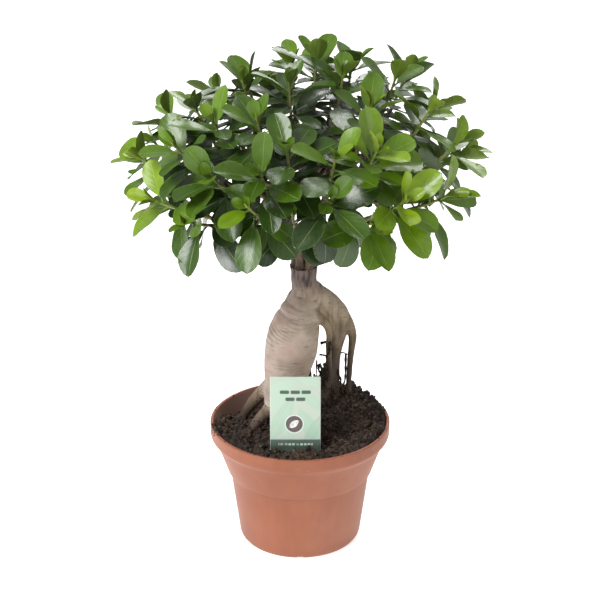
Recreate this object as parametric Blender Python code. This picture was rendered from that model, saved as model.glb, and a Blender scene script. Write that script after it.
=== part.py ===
"""A ginseng ficus (Ficus microcarpa) grown as a bonsai in a 14 cm plastic nursery pot.

Metres, +Z up. The origin is the middle of the pot's base, on the surface that the pot stands on.
The viewer's side is -Y. Shoot and root tables are in millimetres, at the sizes named above them.

The pieces: the moulded pot, the compost in it, the swollen rootstock with its aerial roots, the
grafted branches set on its sawn top, the leafy shoots that the branches carry, and the plant label.
"""

import math
import random

import bmesh
import bpy
import numpy as np
from mathutils.bvhtree import BVHTree

MM = 0.001
CLEARANCE = 0.0003  # kept between pieces that touch

# --- pot -----------------------------------------------------------------------------------------
RIM_RADIUS = 0.070
POT_HEIGHT = 0.098
BASE_RADIUS = 0.683 * RIM_RADIUS
BODY_TOP_RADIUS = 0.784 * RIM_RADIUS
STEP_HEIGHT = 0.577 * POT_HEIGHT  # where the plain body ends and the flared collar begins
STEP_WIDTH = 0.0018
COLLAR_TOP_RADIUS = 0.936 * RIM_RADIUS
LIP_HEIGHT = 0.010  # of the upright band round the rim
LIP_FLARE = 0.005  # height over which the collar turns out into the lip
LIP_THICKNESS = 0.0026
WALL = 0.0013
FLOOR_TOP = 0.004
FOOT_RELIEF = 0.002  # how far the floor is raised between its hub and its foot ring
HUB_RADIUS = 0.229 * RIM_RADIUS
FOOT_RING_WIDTH = 0.007
EDGE_ROUND = 0.0028
DRAIN_COUNT = 6
DRAIN_RADIUS = 0.0045
DRAIN_CIRCLE = 0.414 * RIM_RADIUS
NOTCH_WIDTH = 0.005  # of the water way under the foot ring beside each drain hole
POT_SEGMENTS = 44

# --- compost -------------------------------------------------------------------------------------
COMPOST_DROP = 0.0035  # of the compost below the rim, along the front
MOUND_HEIGHT = 0.0115  # of the compost heaped round the roots
MOUND_SPREAD = 0.030
HOLLOW_DEPTH = 0.014  # of the sunken part at the back left
HOLLOW_SPREAD = 0.019
COMPOST_RINGS = 8
COMPOST_SECTORS = 32

# --- rootstock -----------------------------------------------------------------------------------
TRUNK_HEIGHT = 0.131  # of the sawn top above the compost level at the front
DRAWN_TRUNK_HEIGHT = 131.0  # the same in the units of ROOTS
TRUNK_X = 0.003
TRUNK_Y = 0.006
ROOT_VOXEL = 0.0017
TRUNK_TRIANGLES = 2200
ROOT_POCKET = 0.0006  # how far the compost stays off the roots

# --- crown ---------------------------------------------------------------------------------------
CROWN_REACH = 0.125  # of the furthest shoot tips from the crown's middle line
DRAWN_REACH = 118.0  # the same in the units of GRAFTS
GRAFT_RING = 0.0066  # radius of the ring of grafts on the sawn top
GRAFT_RADIUS = 0.0029
FORK_RADIUS = 0.0023
BRANCH_END_RADIUS = 0.0015
TWIG_TIP_RADIUS = 0.0007
TWIG_SHARE = 0.36  # of the way from the crown's heart to a shoot's tip that its twig takes up
LEAF_LENGTH = 0.045  # of the largest leaves, stalk included
LEAF_WIDTH_SHARE = 0.50
LEAF_THICKNESS = 0.0012
LEAF_KEEL = 0.0011  # depth of the midrib below the blade
LEAF_GAP = 0.0009  # kept between the leaves of one shoot and everything else
LEAF_TURN = math.radians(137.5)  # from each leaf to the next round the twig

# --- label ---------------------------------------------------------------------------------------
LABEL_WIDTH = 0.038
LABEL_FACE_HEIGHT = 0.067
LABEL_SUNK = 0.008  # depth of the card's lower edge in the compost
LABEL_STAKE_LENGTH = 0.022
LABEL_STAKE_WIDTH = 0.014
LABEL_THICKNESS = 0.0006
LABEL_LEAN = math.radians(9)
LABEL_X = -0.0035
LABEL_FROM_RIM = 0.0185

COMPOST_LEVEL = POT_HEIGHT - COMPOST_DROP
CROWN_HEART = np.array([TRUNK_X, TRUNK_Y, COMPOST_LEVEL + TRUNK_HEIGHT + 0.014])

# Each root is a list of (x, y, height above the compost, radius). The first is the neck and the
# swollen storage root under it; the others leave it and go down into the compost.
ROOTS = [
    [(0, 0, 131, 10.6), (0, 0, 120, 10.0), (1, 0, 110, 10.2), (0, -1, 100, 12.5),
     (-4, -2, 89, 16.5), (-7, -4, 77, 19.4), (-10, -5, 64, 20.2), (-13, -6, 51, 19.2),
     (-15, -6, 38, 17.0), (-17, -6, 26, 15.2), (-18, -6, 12, 13.5), (-18, -5, -4, 10.5),
     (-17, -4, -20, 6.5)],
    [(4, 1, 111, 9.2), (14, 5, 101, 8.8), (23, 9, 91, 8.3), (28, 12, 82, 7.4), (27, 14, 69, 6.4),
     (25, 15, 56, 5.5), (24, 16, 43, 5.0), (23.5, 17, 23, 5.2), (23.5, 18, 2, 5.0),
     (23, 19, -16, 3.2)],
    [(25, 10, 90, 6.6), (32, 12, 81, 4.9), (36.5, 14, 72, 3.6), (38, 15, 63, 3.2),
     (36.5, 16, 45, 2.8), (35.5, 17, 24, 2.5), (35, 18, 4, 2.3), (34, 19, -12, 1.9)],
    [(2, -6, 98, 5.5), (10, -8, 91, 4.3), (17, -6, 84, 3.3), (19.5, -4, 75, 2.8),
     (19, -2, 65, 2.5), (19.5, 1, 53, 2.4), (20, 5, 42, 2.4), (19.5, 9, 28, 2.6), (18, 9, 6, 2.8),
     (17, 9, -10, 2.2)],
    [(8, -3, 97, 6.5), (14, 0, 90, 5.6), (20, 3, 80, 4.6), (23, 7, 69, 4.2), (24, 11, 58, 4.0)],
    [(23, 15, 47, 4.6), (19, 12, 33, 5.4), (14, 8, 18, 6.2), (10, 5, 3, 6.4), (8, 4, -12, 4.0)],
    [(-3, 6, 102, 9.0), (-7, 15, 88, 9.0), (-11, 23, 68, 8.2), (-14, 29, 46, 7.2),
     (-17, 33, 22, 6.4), (-19, 35, 0, 5.6), (-20, 36, -16, 3.6)],
    [(6, 8, 98, 6.0), (4, 19, 84, 5.2), (1, 27, 64, 4.4), (1, 32, 40, 3.8), (4, 35, 14, 3.4),
     (6, 36, -12, 2.4)],
    [(-24, -2, 32, 8.0), (-33, 6, 20, 5.6), (-42, 9, 8, 4.4), (-48, 10, -3, 3.6),
     (-50, 10, -14, 2.6)],
    [(-23, -12, 20, 6.0), (-32, -16, 11, 4.6), (-40, -19, 2, 3.6), (-46, -20, -8, 2.6)],
]

# Each graft: its name, its bearing on the sawn top (None is the middle), the place where it forks,
# from the crown's heart, and its shoots. A shoot is the place of its tip from the heart, how far it
# turns up to the light, its number of leaves, the length of its leaves, and its first leaf's bearing.
GRAFTS = [
    ("left", 180, (-42, -3, 28), [
        (-112, -14, 70, 20, 8, 46, 20), (-75, -8, 106, 45, 8, 44, 60),
        (-84, -50, 88, 20, 8, 46, 200), (-100, -56, 54, 0, 8, 44, 110),
        (-76, -72, 44, -10, 8, 48, 75), (-60, -80, 78, 12, 8, 46, 310),
        (-106, 34, 66, 10, 8, 45, 150), (-74, -20, 36, -35, 6, 44, 30),
        (-94, 14, 92, 30, 8, 45, 240)]),
    ("front", 240, (-12, -42, 28), [
        (-28, -92, 84, 12, 8, 45, 10), (-36, -94, 62, 2, 8, 45, 220),
        (-11, -84, 96, 30, 8, 44, 90), (-8, -86, 54, 8, 8, 46, 215),
        (17, -98, 68, 0, 8, 48, 265), (-30, -60, 108, 40, 8, 44, 170)]),
    ("front_right", 300, (38, -36, 30), [
        (20, -84, 92, 25, 8, 44, 45), (46, -78, 94, 35, 8, 45, 130),
        (64, -84, 62, 0, 8, 48, 200), (44, -86, 48, -20, 8, 46, 300),
        (96, -52, 56, 0, 8, 47, 0), (78, -20, 40, -35, 6, 44, 80)]),
    ("right", 0, (46, 10, 34), [
        (84, -18, 104, 40, 8, 44, 100), (103, -26, 84, 20, 8, 45, 340),
        (112, 14, 66, 5, 8, 45, 20), (92, 44, 90, 20, 8, 45, 250),
        (98, 46, 50, -15, 8, 45, 60), (72, 38, 116, 50, 8, 44, 180),
        (62, 4, 120, 55, 8, 44, 300)]),
    ("back_right", 60, (20, 42, 32), [
        (22, 84, 98, 30, 8, 45, 0), (56, 82, 80, 10, 8, 45, 120),
        (30, 100, 54, -10, 8, 46, 200), (72, 76, 46, -25, 8, 46, 320),
        (0, 92, 42, -35, 6, 46, 40)]),
    ("back_left", 120, (-34, 36, 32), [
        (-62, 58, 96, 25, 8, 45, 80), (-90, 62, 54, -5, 8, 45, 190),
        (-52, 90, 66, 0, 8, 45, 300), (-24, 82, 90, 20, 8, 45, 20),
        (-58, 72, 40, -30, 6, 46, 140)]),
    ("middle", None, (2, 4, 60), [
        (-42, 6, 118, 60, 8, 43, 40), (-60, -44, 104, 30, 8, 45, 330),
        (-10, -24, 124, 60, 8, 44, 150), (26, -10, 126, 70, 8, 44, 260),
        (44, -38, 112, 50, 8, 44, 20), (-8, 36, 124, 60, 8, 44, 110),
        (34, 44, 120, 50, 8, 44, 220), (-40, 44, 110, 45, 8, 44, 0),
        (8, 12, 132, 80, 8, 42, 70)]),
]


# --- helpers -------------------------------------------------------------------------------------
def unit(vector):
    return vector / np.linalg.norm(vector)


def smooth_path(points, count):
    """A Catmull-Rom curve through the points, as count points evenly spread in its parameter."""
    p = np.asarray(points, float)
    p = np.vstack([2 * p[0] - p[1], p, 2 * p[-1] - p[-2]])
    at = np.linspace(0, len(p) - 3, count)
    k = np.minimum(at.astype(int), len(p) - 4)
    t = (at - k)[:, None]
    a, b, c, d = (p[k + j] for j in range(4))
    return 0.5 * (2 * b + (c - a) * t + (2 * a - 5 * b + 4 * c - d) * t**2
                  + (3 * b - a - 3 * c + d) * t**3)


def bezier(a, b, c, d, count):
    """Points of the cubic from a to d with handles b and c."""
    t = np.linspace(0, 1, count)[:, None]
    return a * (1 - t) ** 3 + 3 * b * t * (1 - t) ** 2 + 3 * c * t**2 * (1 - t) + d * t**3


def material(name, colour, roughness):
    made = bpy.data.materials.new(name)
    made.use_nodes = True
    shader = made.node_tree.nodes["Principled BSDF"]
    shader.inputs["Base Color"].default_value = (*colour, 1)
    shader.inputs["Roughness"].default_value = roughness
    return made


def shown(name, mesh, finish):
    made = bpy.data.objects.new(name, mesh)
    mesh.materials.clear()
    mesh.materials.append(finish)
    bpy.context.scene.collection.objects.link(made)
    return made


def helper(name, mesh):
    """An object that only cuts or joins others."""
    made = bpy.data.objects.new(name, mesh)
    made.hide_render = True
    made.display_type = "WIRE"
    bpy.context.scene.collection.objects.link(made)
    return made


def boolean(obj, other, operation):
    step = obj.modifiers.new(operation.lower() + "_" + other.name, "BOOLEAN")
    step.operation = operation
    step.object = other
    step.solver = "EXACT"


def mesh_of(verts, faces, name):
    mesh = bpy.data.meshes.new(name)
    mesh.from_pydata([tuple(v) for v in verts], [], faces)
    mesh.update()
    return mesh


def joined(meshes, name):
    """The meshes as the separate islands of one mesh."""
    made = bmesh.new()
    for mesh in meshes:
        made.from_mesh(mesh)
    out = bpy.data.meshes.new(name)
    made.to_mesh(out)
    made.free()
    return out


def tube(points, radii, sides, name="tube"):
    """A closed tube round the points, from a curve with a bevel, filled caps and a radius at each."""
    curve = bpy.data.curves.new(name, "CURVE")
    curve.dimensions = "3D"
    curve.bevel_depth = 1.0
    curve.bevel_resolution = (sides - 4) // 2
    curve.use_fill_caps = True
    spline = curve.splines.new("POLY")
    spline.points.add(len(points) - 1)
    for knot, place, radius in zip(spline.points, points, radii):
        knot.co = (*place, 1)
        knot.radius = radius
    holder = bpy.data.objects.new(name, curve)
    mesh = bpy.data.meshes.new_from_object(holder)
    bpy.data.objects.remove(holder)
    bpy.data.curves.remove(curve)
    welded = bmesh.new()
    welded.from_mesh(mesh)
    bmesh.ops.remove_doubles(welded, verts=welded.verts, dist=1e-6)
    bmesh.ops.recalc_face_normals(welded, faces=welded.faces)
    welded.to_mesh(mesh)
    welded.free()
    return mesh


def turned(profile, segments, name):
    """The closed solid that the outline of (radius, height) points makes when it is spun round Z."""
    spun = bmesh.new()
    verts = [spun.verts.new((radius, 0, height)) for radius, height in profile]
    edges = [spun.edges.new(pair) for pair in zip(verts, verts[1:])]
    bmesh.ops.spin(spun, geom=verts + edges, axis=(0, 0, 1), cent=(0, 0, 0), steps=segments,
                   angle=math.tau, use_merge=True, use_normal_flip=False)
    bmesh.ops.remove_doubles(spun, verts=spun.verts, dist=1e-6)
    bmesh.ops.recalc_face_normals(spun, faces=spun.faces)
    mesh = bpy.data.meshes.new(name)
    spun.to_mesh(mesh)
    spun.free()
    return mesh


def box_mesh(low, high, name):
    made = bmesh.new()
    bmesh.ops.create_cube(made, size=1)
    low, high = np.array(low), np.array(high)
    bmesh.ops.scale(made, vec=tuple(high - low), verts=made.verts)
    bmesh.ops.translate(made, vec=tuple((high + low) / 2), verts=made.verts)
    mesh = bpy.data.meshes.new(name)
    made.to_mesh(mesh)
    made.free()
    return mesh


# --- pot -----------------------------------------------------------------------------------------
def pot_outer():
    """(radius, height) up the outside of the pot, from its foot to its rim."""
    lip_bottom = POT_HEIGHT - LIP_HEIGHT
    return [
        (BASE_RADIUS - EDGE_ROUND, 0),
        (BASE_RADIUS - EDGE_ROUND * 0.29, EDGE_ROUND * 0.29),
        (BASE_RADIUS, EDGE_ROUND),
        (BODY_TOP_RADIUS, STEP_HEIGHT),
        (BODY_TOP_RADIUS + STEP_WIDTH, STEP_HEIGHT + STEP_WIDTH / 2),
        (COLLAR_TOP_RADIUS, lip_bottom - LIP_FLARE),
        (RIM_RADIUS - 0.0006, lip_bottom - 0.0006),
        (RIM_RADIUS, lip_bottom + 0.001),
        (RIM_RADIUS, POT_HEIGHT - 0.0012),
        (RIM_RADIUS - 0.0008, POT_HEIGHT),
    ]


def pot_inner():
    """(radius, height) up the inside of the pot, from its floor to its rim."""
    return [
        (BASE_RADIUS - WALL - EDGE_ROUND, FLOOR_TOP),
        (BASE_RADIUS - WALL, FLOOR_TOP + EDGE_ROUND),
        (BODY_TOP_RADIUS - WALL, STEP_HEIGHT),
        (BODY_TOP_RADIUS + STEP_WIDTH - WALL, STEP_HEIGHT + STEP_WIDTH),
        (COLLAR_TOP_RADIUS - WALL, POT_HEIGHT - LIP_HEIGHT - LIP_FLARE),
        (RIM_RADIUS - LIP_THICKNESS, POT_HEIGHT - 0.001),
        (RIM_RADIUS - LIP_THICKNESS + 0.0006, POT_HEIGHT),
    ]


def inner_radius(height):
    """The radius of the pot's inside at a height."""
    radii, heights = zip(*pot_inner())
    return float(np.interp(height, heights, radii))


def pot_underside():
    ring = BASE_RADIUS - EDGE_ROUND - FOOT_RING_WIDTH
    return [
        (0, 0),
        (HUB_RADIUS, 0),
        (HUB_RADIUS + FOOT_RELIEF / 2, FOOT_RELIEF),
        (ring - FOOT_RELIEF / 2, FOOT_RELIEF),
        (ring, 0),
    ]


def make_pot():
    outline = pot_underside() + pot_outer() + pot_inner()[::-1] + [(0, FLOOR_TOP)]
    pot = shown("pot", turned(outline, POT_SEGMENTS, "pot"),
                material("terracotta_plastic", (0.49, 0.19, 0.11), 0.45))
    cuts = []
    for k in range(DRAIN_COUNT):
        turn = math.tau * (k + 0.5) / DRAIN_COUNT
        hole = bmesh.new()
        bmesh.ops.create_cone(hole, cap_ends=True, segments=16, radius1=DRAIN_RADIUS,
                              radius2=DRAIN_RADIUS, depth=4 * FLOOR_TOP)
        bmesh.ops.translate(hole, vec=(DRAIN_CIRCLE * math.cos(turn), DRAIN_CIRCLE * math.sin(turn), 0),
                            verts=hole.verts)
        drilled = bpy.data.meshes.new("drain")
        hole.to_mesh(drilled)
        hole.free()
        cuts.append(drilled)
        ring = BASE_RADIUS - EDGE_ROUND - FOOT_RING_WIDTH
        notch = box_mesh((ring - 0.002, -NOTCH_WIDTH / 2, -0.002),
                         (BASE_RADIUS + 0.002, NOTCH_WIDTH / 2, FOOT_RELIEF * 0.8), "notch")
        c, s = math.cos(turn), math.sin(turn)
        for vert in notch.vertices:
            x, y, z = vert.co
            vert.co = (c * x - s * y, s * x + c * y, z)
        cuts.append(notch)
    boolean(pot, helper("drain_cuts", joined(cuts, "drain_cuts")), "DIFFERENCE")
    pot.data.set_sharp_from_angle(angle=math.radians(35))
    return pot


# --- compost -------------------------------------------------------------------------------------
def compost_height(x, y):
    """The compost's surface: level with the rim, heaped round the roots, sunken at the back left."""
    across, along = x - 0.40 * RIM_RADIUS, y - 0.35 * RIM_RADIUS
    mound = MOUND_HEIGHT * np.exp(-(across**2 + along**2) / (2 * MOUND_SPREAD**2))
    across, along = x + 0.62 * RIM_RADIUS, y - 0.50 * RIM_RADIUS
    hollow = HOLLOW_DEPTH * np.exp(-(across**2 + along**2) / (2 * HOLLOW_SPREAD**2))
    lumps = 0.0012 * np.sin(x * 170 + 1) * np.sin(y * 150 + 2)
    return COMPOST_LEVEL + mound - hollow + lumps


def make_compost(trunk, label):
    """A solid that fills the pot to a lumpy top, with pockets where the roots and the label go in."""
    turns = np.linspace(0, math.tau, COMPOST_SECTORS, endpoint=False)
    rings = []
    bottom = FLOOR_TOP + CLEARANCE
    walls = [h for _, h in pot_inner() if bottom < h < COMPOST_LEVEL - HOLLOW_DEPTH - 0.004]
    for height in [bottom] + walls:
        radius = inner_radius(height) - CLEARANCE
        rings.append([(radius * math.cos(a), radius * math.sin(a), height) for a in turns])
    for share in np.linspace(1, 0, COMPOST_RINGS, endpoint=False):
        ring = []
        for a in turns:
            edge = inner_radius(COMPOST_LEVEL - 0.006) - CLEARANCE
            x, y = share * edge * math.cos(a), share * edge * math.sin(a)
            height = float(compost_height(x, y))
            if share == 1:
                height = min(height, POT_HEIGHT - 0.001)
                edge = inner_radius(height) - 2 * CLEARANCE
                x, y = edge * math.cos(a), edge * math.sin(a)
            ring.append((x, y, height))
        rings.append(ring)
    verts = [v for ring in rings for v in ring]
    verts += [(0, 0, float(compost_height(0, 0))), (0, 0, bottom)]
    n, top, under = COMPOST_SECTORS, len(verts) - 2, len(verts) - 1
    faces = [(k * n + j, k * n + (j + 1) % n, (k + 1) * n + (j + 1) % n, (k + 1) * n + j)
             for k in range(len(rings) - 1) for j in range(n)]
    last = (len(rings) - 1) * n
    faces += [(last + j, last + (j + 1) % n, top) for j in range(n)]
    faces += [((j + 1) % n, j, under) for j in range(n)]
    compost = shown("compost", mesh_of(verts, faces, "compost"),
                    material("potting_compost", (0.045, 0.028, 0.02), 0.95))
    for piece, gap in ((trunk, ROOT_POCKET), (label, CLEARANCE)):
        pocket = helper(piece.name + "_pocket", piece.data.copy())
        grown = pocket.modifiers.new("grown", "DISPLACE")
        grown.strength = gap
        grown.mid_level = 0
        boolean(compost, pocket, "DIFFERENCE")
    return compost


# --- rootstock -----------------------------------------------------------------------------------
def root_path(root, spacing=5.0):
    """A root's centreline and radii in metres, smoothed, about one point every spacing millimetres."""
    rows = np.array(root, float)
    length = np.linalg.norm(np.diff(rows[:, :3], axis=0), axis=1).sum()
    rows = smooth_path(rows, max(6, int(length / spacing)))
    rise = TRUNK_HEIGHT / DRAWN_TRUNK_HEIGHT
    places = rows[:, :3] * [MM, MM, rise] + [TRUNK_X, TRUNK_Y, COMPOST_LEVEL]
    return places, np.maximum(rows[:, 3], 1.2) * MM


def make_trunk():
    """The roots as round tapers, grown together by a voxel remesh, and thinned to a light mesh."""
    tapers = [tube(*root_path(root), 12) for root in ROOTS]
    rough = helper("rough_trunk", joined(tapers, "rough_trunk"))
    grown = rough.modifiers.new("grown_together", "REMESH")
    grown.mode = "VOXEL"
    grown.voxel_size = ROOT_VOXEL
    eased = rough.modifiers.new("eased", "SMOOTH")
    eased.factor = 0.5
    eased.iterations = 3
    graph = bpy.context.evaluated_depsgraph_get()
    dense = len(rough.evaluated_get(graph).data.loop_triangles)
    thin = rough.modifiers.new("thinned", "DECIMATE")
    thin.ratio = TRUNK_TRIANGLES / dense
    graph = bpy.context.evaluated_depsgraph_get()
    mesh = bpy.data.meshes.new_from_object(rough.evaluated_get(graph))
    bpy.data.objects.remove(rough)
    sawn = COMPOST_LEVEL + TRUNK_HEIGHT - 0.001
    cut = bmesh.new()
    cut.from_mesh(mesh)
    geometry = cut.verts[:] + cut.edges[:] + cut.faces[:]
    made = bmesh.ops.bisect_plane(cut, geom=geometry, plane_co=(0, 0, sawn), plane_no=(0, 0, 1),
                                  clear_outer=True)
    rim = [e for e in made["geom_cut"] if isinstance(e, bmesh.types.BMEdge)]
    bmesh.ops.holes_fill(cut, edges=rim, sides=0)
    bmesh.ops.recalc_face_normals(cut, faces=cut.faces)
    cut.to_mesh(mesh)
    cut.free()
    mesh.shade_smooth()
    return shown("rootstock", mesh, material("ficus_bark", (0.33, 0.26, 0.19), 0.75)), sawn


# --- crown layout --------------------------------------------------------------------------------
def crown_plan(sawn_top):
    """The crown's branches, twigs and leaves as centrelines and frames, with no meshes.

    Returns the grafts as {"name", "stem": (points, radii), "limbs": [(points, radii)]} and the shoots
    as {"name", "twig": (points, radii), "leaves": [leaf]}, where a leaf is (foot, along, normal,
    length, age). No leaf meets another leaf, a twig or a branch: one that would is turned, tilted or
    made smaller until it is clear, and the last resort is a bud with no leaf.
    """
    scale = CROWN_REACH / DRAWN_REACH
    grafts, shoots = [], []
    for name, bearing, fork, rows in GRAFTS:
        ring = 0 if bearing is None else GRAFT_RING
        turn = math.radians(bearing or 0)
        foot = np.array([TRUNK_X + ring * math.cos(turn), TRUNK_Y + ring * math.sin(turn),
                         sawn_top + CLEARANCE])
        fork = CROWN_HEART + np.array(fork) * scale
        reach = np.linalg.norm(fork - foot)
        lead = unit(np.array([fork[0] - CROWN_HEART[0], fork[1] - CROWN_HEART[1], 0.5 * reach]))
        upright = foot + [0, 0, GRAFT_RADIUS]
        stem = bezier(upright, upright + [0, 0, 0.35 * reach], fork - lead * 0.35 * reach, fork, 9)
        stem = np.vstack([foot, stem])
        grafts.append({"name": name, "stem": (stem, np.linspace(GRAFT_RADIUS, FORK_RADIUS, 10)),
                       "limbs": []})
        for k, (x, y, z, lift, leaves, leaf_length, roll) in enumerate(rows):
            tip = CROWN_HEART + np.array([x, y, z]) * scale
            axis = unit(np.array([x, y, z + lift], float))
            length = TWIG_SHARE * np.linalg.norm([x, y, z]) * scale
            base = tip - axis * length
            sag = np.array([0, 0, -0.04 * length])
            twig = bezier(base, base + axis * length / 3, tip - axis * length / 3 + sag, tip, 5)
            shoots.append({"name": f"shoot_{len(shoots) + 1:02d}", "graft": grafts[-1], "axis": axis,
                           "fork": 8.85 - 3.6 * k / (len(rows) - 1), "count": leaves,
                           "reach": leaf_length * LEAF_LENGTH / 47.0, "roll": math.radians(roll),
                           "twig": (twig, np.linspace(BRANCH_END_RADIUS, TWIG_TIP_RADIUS, 5)),
                           "leaves": []})
    set_limbs(grafts, shoots)
    set_leaves(grafts, shoots)
    return grafts, shoots


def limb_to(shoot, spot, lift):
    """A limb from a place on its graft's stem to the foot of the shoot's twig, as (points, radii)."""
    stem = shoot["graft"]["stem"][0]
    low = int(spot)
    start = stem[low] + (stem[low + 1] - stem[low]) * (spot - low)
    base, axis = shoot["twig"][0][0], shoot["axis"]
    gap = np.linalg.norm(base - start)
    toward = unit(unit(base - start) + [0, 0, lift])
    end = base - axis * (CLEARANCE + BRANCH_END_RADIUS)
    limb = bezier(start, start + toward * 0.35 * gap, end - axis * 0.35 * gap, end, 5)
    limb = np.vstack([limb, base - axis * CLEARANCE])
    return limb, np.linspace(FORK_RADIUS * 0.85, BRANCH_END_RADIUS, 6)


def set_limbs(grafts, shoots):
    """Gives each shoot a limb that is clear of every other graft's wood and of every other twig."""
    stems = {graft["name"]: keep_out_tube(*graft["stem"]) for graft in grafts}
    twigs = {shoot["name"]: keep_out_tube(*shoot["twig"]) for shoot in shoots}
    taken = []
    for shoot in shoots:
        own = shoot["graft"]["name"]
        others = [stem for name, stem in stems.items() if name != own]
        others += [twig for name, twig in twigs.items() if name != shoot["name"]]
        others += [limb for name, limb in taken if name != own]
        for shift, lift in LIMB_TRIES:
            limb = limb_to(shoot, min(max(shoot["fork"] + shift, 2.2), 8.9), lift)
            space = keep_out_tube(*limb)
            if not any(meets(space, other) for other in others):
                break
        else:
            raise ValueError("no clear way for the limb to " + shoot["name"])
        taken.append((own, space))
        shoot["graft"]["limbs"].append(limb)


def leaf_frame(shoot, index, turn=0.0, tilt=0.0, size=1.0):
    """Where a leaf's stalk starts, which way it points, where its upper face looks, and its length.

    From the twig's foot to its tip the leaves go round by LEAF_TURN, close up towards the axis, and
    are longest a third of the way up. Each face leans to the light and old leaves hang a little.
    """
    chance = random.Random(f"{shoot['name']}-{index}")
    share = index / (shoot["count"] - 1)
    points, radii = shoot["twig"]
    along = 0.42 + 0.56 * share
    spot = along * (len(points) - 1)
    low = min(int(spot), len(points) - 2)
    foot = points[low] + (points[low + 1] - points[low]) * (spot - low)
    axis = unit(points[low + 1] - points[low])
    side = unit(np.cross(axis, [0.0, 0.0, 1.0] if abs(axis[2]) < 0.9 else [1.0, 0.0, 0.0]))
    over = np.cross(side, axis)
    bearing = shoot["roll"] + index * LEAF_TURN + math.radians(chance.uniform(-12, 12)) + turn
    out = side * math.cos(bearing) + over * math.sin(bearing)
    open_angle = math.radians(92 - 58 * share**1.3 + chance.uniform(-8, 8)) + tilt
    way = axis * math.cos(open_angle) + out * math.sin(open_angle)
    face = axis * math.sin(open_angle) - out * math.cos(open_angle)
    face = unit(face + [0, 0, 0.40])
    way = unit(way + np.array([0, 0, -0.16]) * (1 - share))
    face = unit(face - way * (face @ way))
    shape = np.interp(share, [0, 0.3, 0.7, 1.0], [0.86, 1.0, 0.92, 0.56])
    length = shoot["reach"] * shape * chance.uniform(0.90, 1.06) * size
    return foot, way, face, length, share


BLADE_SHARES = (0.0, 0.17, 0.42, 0.76, 1.0)
BLADE_WIDTHS = (0.045, 0.07, 0.94, 0.86, 0.06)


def blade_line(leaf, shares, widths):
    """(middle, across, normal, half width) at each share of a leaf's length. It arches to its tip."""
    foot, way, face, length, age = leaf
    arch = 0.20 - 0.12 * age
    for share, width in zip(shares, widths):
        middle = foot + way * length * (share - 0.35 * arch * share**2) - face * length * arch * share**2
        normal = unit(face + way * 2 * arch * share)
        yield middle, np.cross(way, face), normal, width * LEAF_WIDTH_SHARE * length / 2


def bar_faces(rings, sides):
    """The faces of the closed bar through rings of corners."""
    faces = [tuple(range(sides))[::-1]]
    for k in range(rings - 1):
        a, b = sides * k, sides * (k + 1)
        faces += [(a + j, a + (j + 1) % sides, b + (j + 1) % sides, b + j) for j in range(sides)]
    end = sides * (rings - 1)
    return faces + [tuple(range(end, end + sides))]


def keep_out_leaf(leaf, stalk):
    """The space that a leaf keeps to itself, as a closed bar. Without its stalk it is the blade only."""
    shares, widths = BLADE_SHARES, BLADE_WIDTHS
    if not stalk:
        shares, widths = (0.27,) + shares[2:], (0.5,) + widths[2:]
    corners = []
    for middle, across, normal, half in blade_line(leaf, shares, widths):
        half += LEAF_GAP
        up = normal * (LEAF_THICKNESS / 2 + LEAF_GAP)
        corners += [middle - across * half + up, middle + across * half + up,
                    middle + across * half - up, middle - across * half - up]
    corners = np.array(corners)
    return corners, BVHTree.FromPolygons(corners.tolist(), bar_faces(len(shares), 4))


def keep_out_tube(points, radii):
    """The space of a twig or a branch, as a closed square bar round it."""
    corners = []
    for k, (place, radius) in enumerate(zip(points, radii)):
        axis = unit(points[min(k + 1, len(points) - 1)] - points[max(k - 1, 0)])
        side = unit(np.cross(axis, [0.31, 0.17, 0.93]))
        over = np.cross(axis, side)
        reach = (radius + LEAF_GAP / 2) * 1.25
        corners += [place + (side * a + over * b) * reach for a, b in ((1, 1), (-1, 1), (-1, -1), (1, -1))]
    corners = np.array(corners)
    return corners, BVHTree.FromPolygons(corners.tolist(), bar_faces(len(points), 4))


def meets(one, other):
    """Whether two keep-out spaces touch, by their boxes first."""
    (a, a_tree), (b, b_tree) = one, other
    if (a.min(0) > b.max(0)).any() or (b.min(0) > a.max(0)).any():
        return False
    return bool(a_tree.overlap(b_tree))


TRIES = [(0, 0, 1), (14, 0, 1), (-14, 0, 1), (0, 14, 1), (0, -14, 1), (28, 0, 1), (-28, 0, 1),
         (14, 22, 0.95), (-14, -22, 0.95), (0, 30, 0.9), (0, -30, 0.9), (40, 10, 0.85),
         (-40, -10, 0.85), (55, 0, 0.8), (-55, 0, 0.8), (20, -20, 0.65), (-20, 20, 0.65), (0, 0, 0.5)]


LIMB_TRIES = [(shift, lift) for lift in (0, 0.3, -0.3, 0.6, -0.6, 1.0, -1.0, 1.5, -1.5)
              for shift in (0, 1.3, -1.3, -2.6, -3.9)]


def set_leaves(grafts, shoots):
    """Gives each shoot its leaves, one round of the whole crown after another, oldest leaves first."""
    wood = [keep_out_tube(*graft["stem"]) for graft in grafts]
    wood += [keep_out_tube(*limb) for graft in grafts for limb in graft["limbs"]]
    twigs = {shoot["name"]: keep_out_tube(*shoot["twig"]) for shoot in shoots}
    taken = []
    for index in range(max(shoot["count"] for shoot in shoots)):
        for shoot in shoots:
            if index >= shoot["count"]:
                continue
            others = wood + [t for name, t in twigs.items() if name != shoot["name"]]
            for turn, tilt, size in TRIES:
                leaf = leaf_frame(shoot, index, math.radians(turn), math.radians(tilt), size)
                whole, blade = keep_out_leaf(leaf, True), keep_out_leaf(leaf, False)
                if any(meets(whole, other) for other in others) or meets(blade, twigs[shoot["name"]]):
                    continue
                if any(meets(blade, other[2]) if other[0] == shoot["name"] else meets(whole, other[1])
                       for other in taken):
                    continue
                taken.append((shoot["name"], whole, blade))
                shoot["leaves"].append(leaf)
                break


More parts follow.
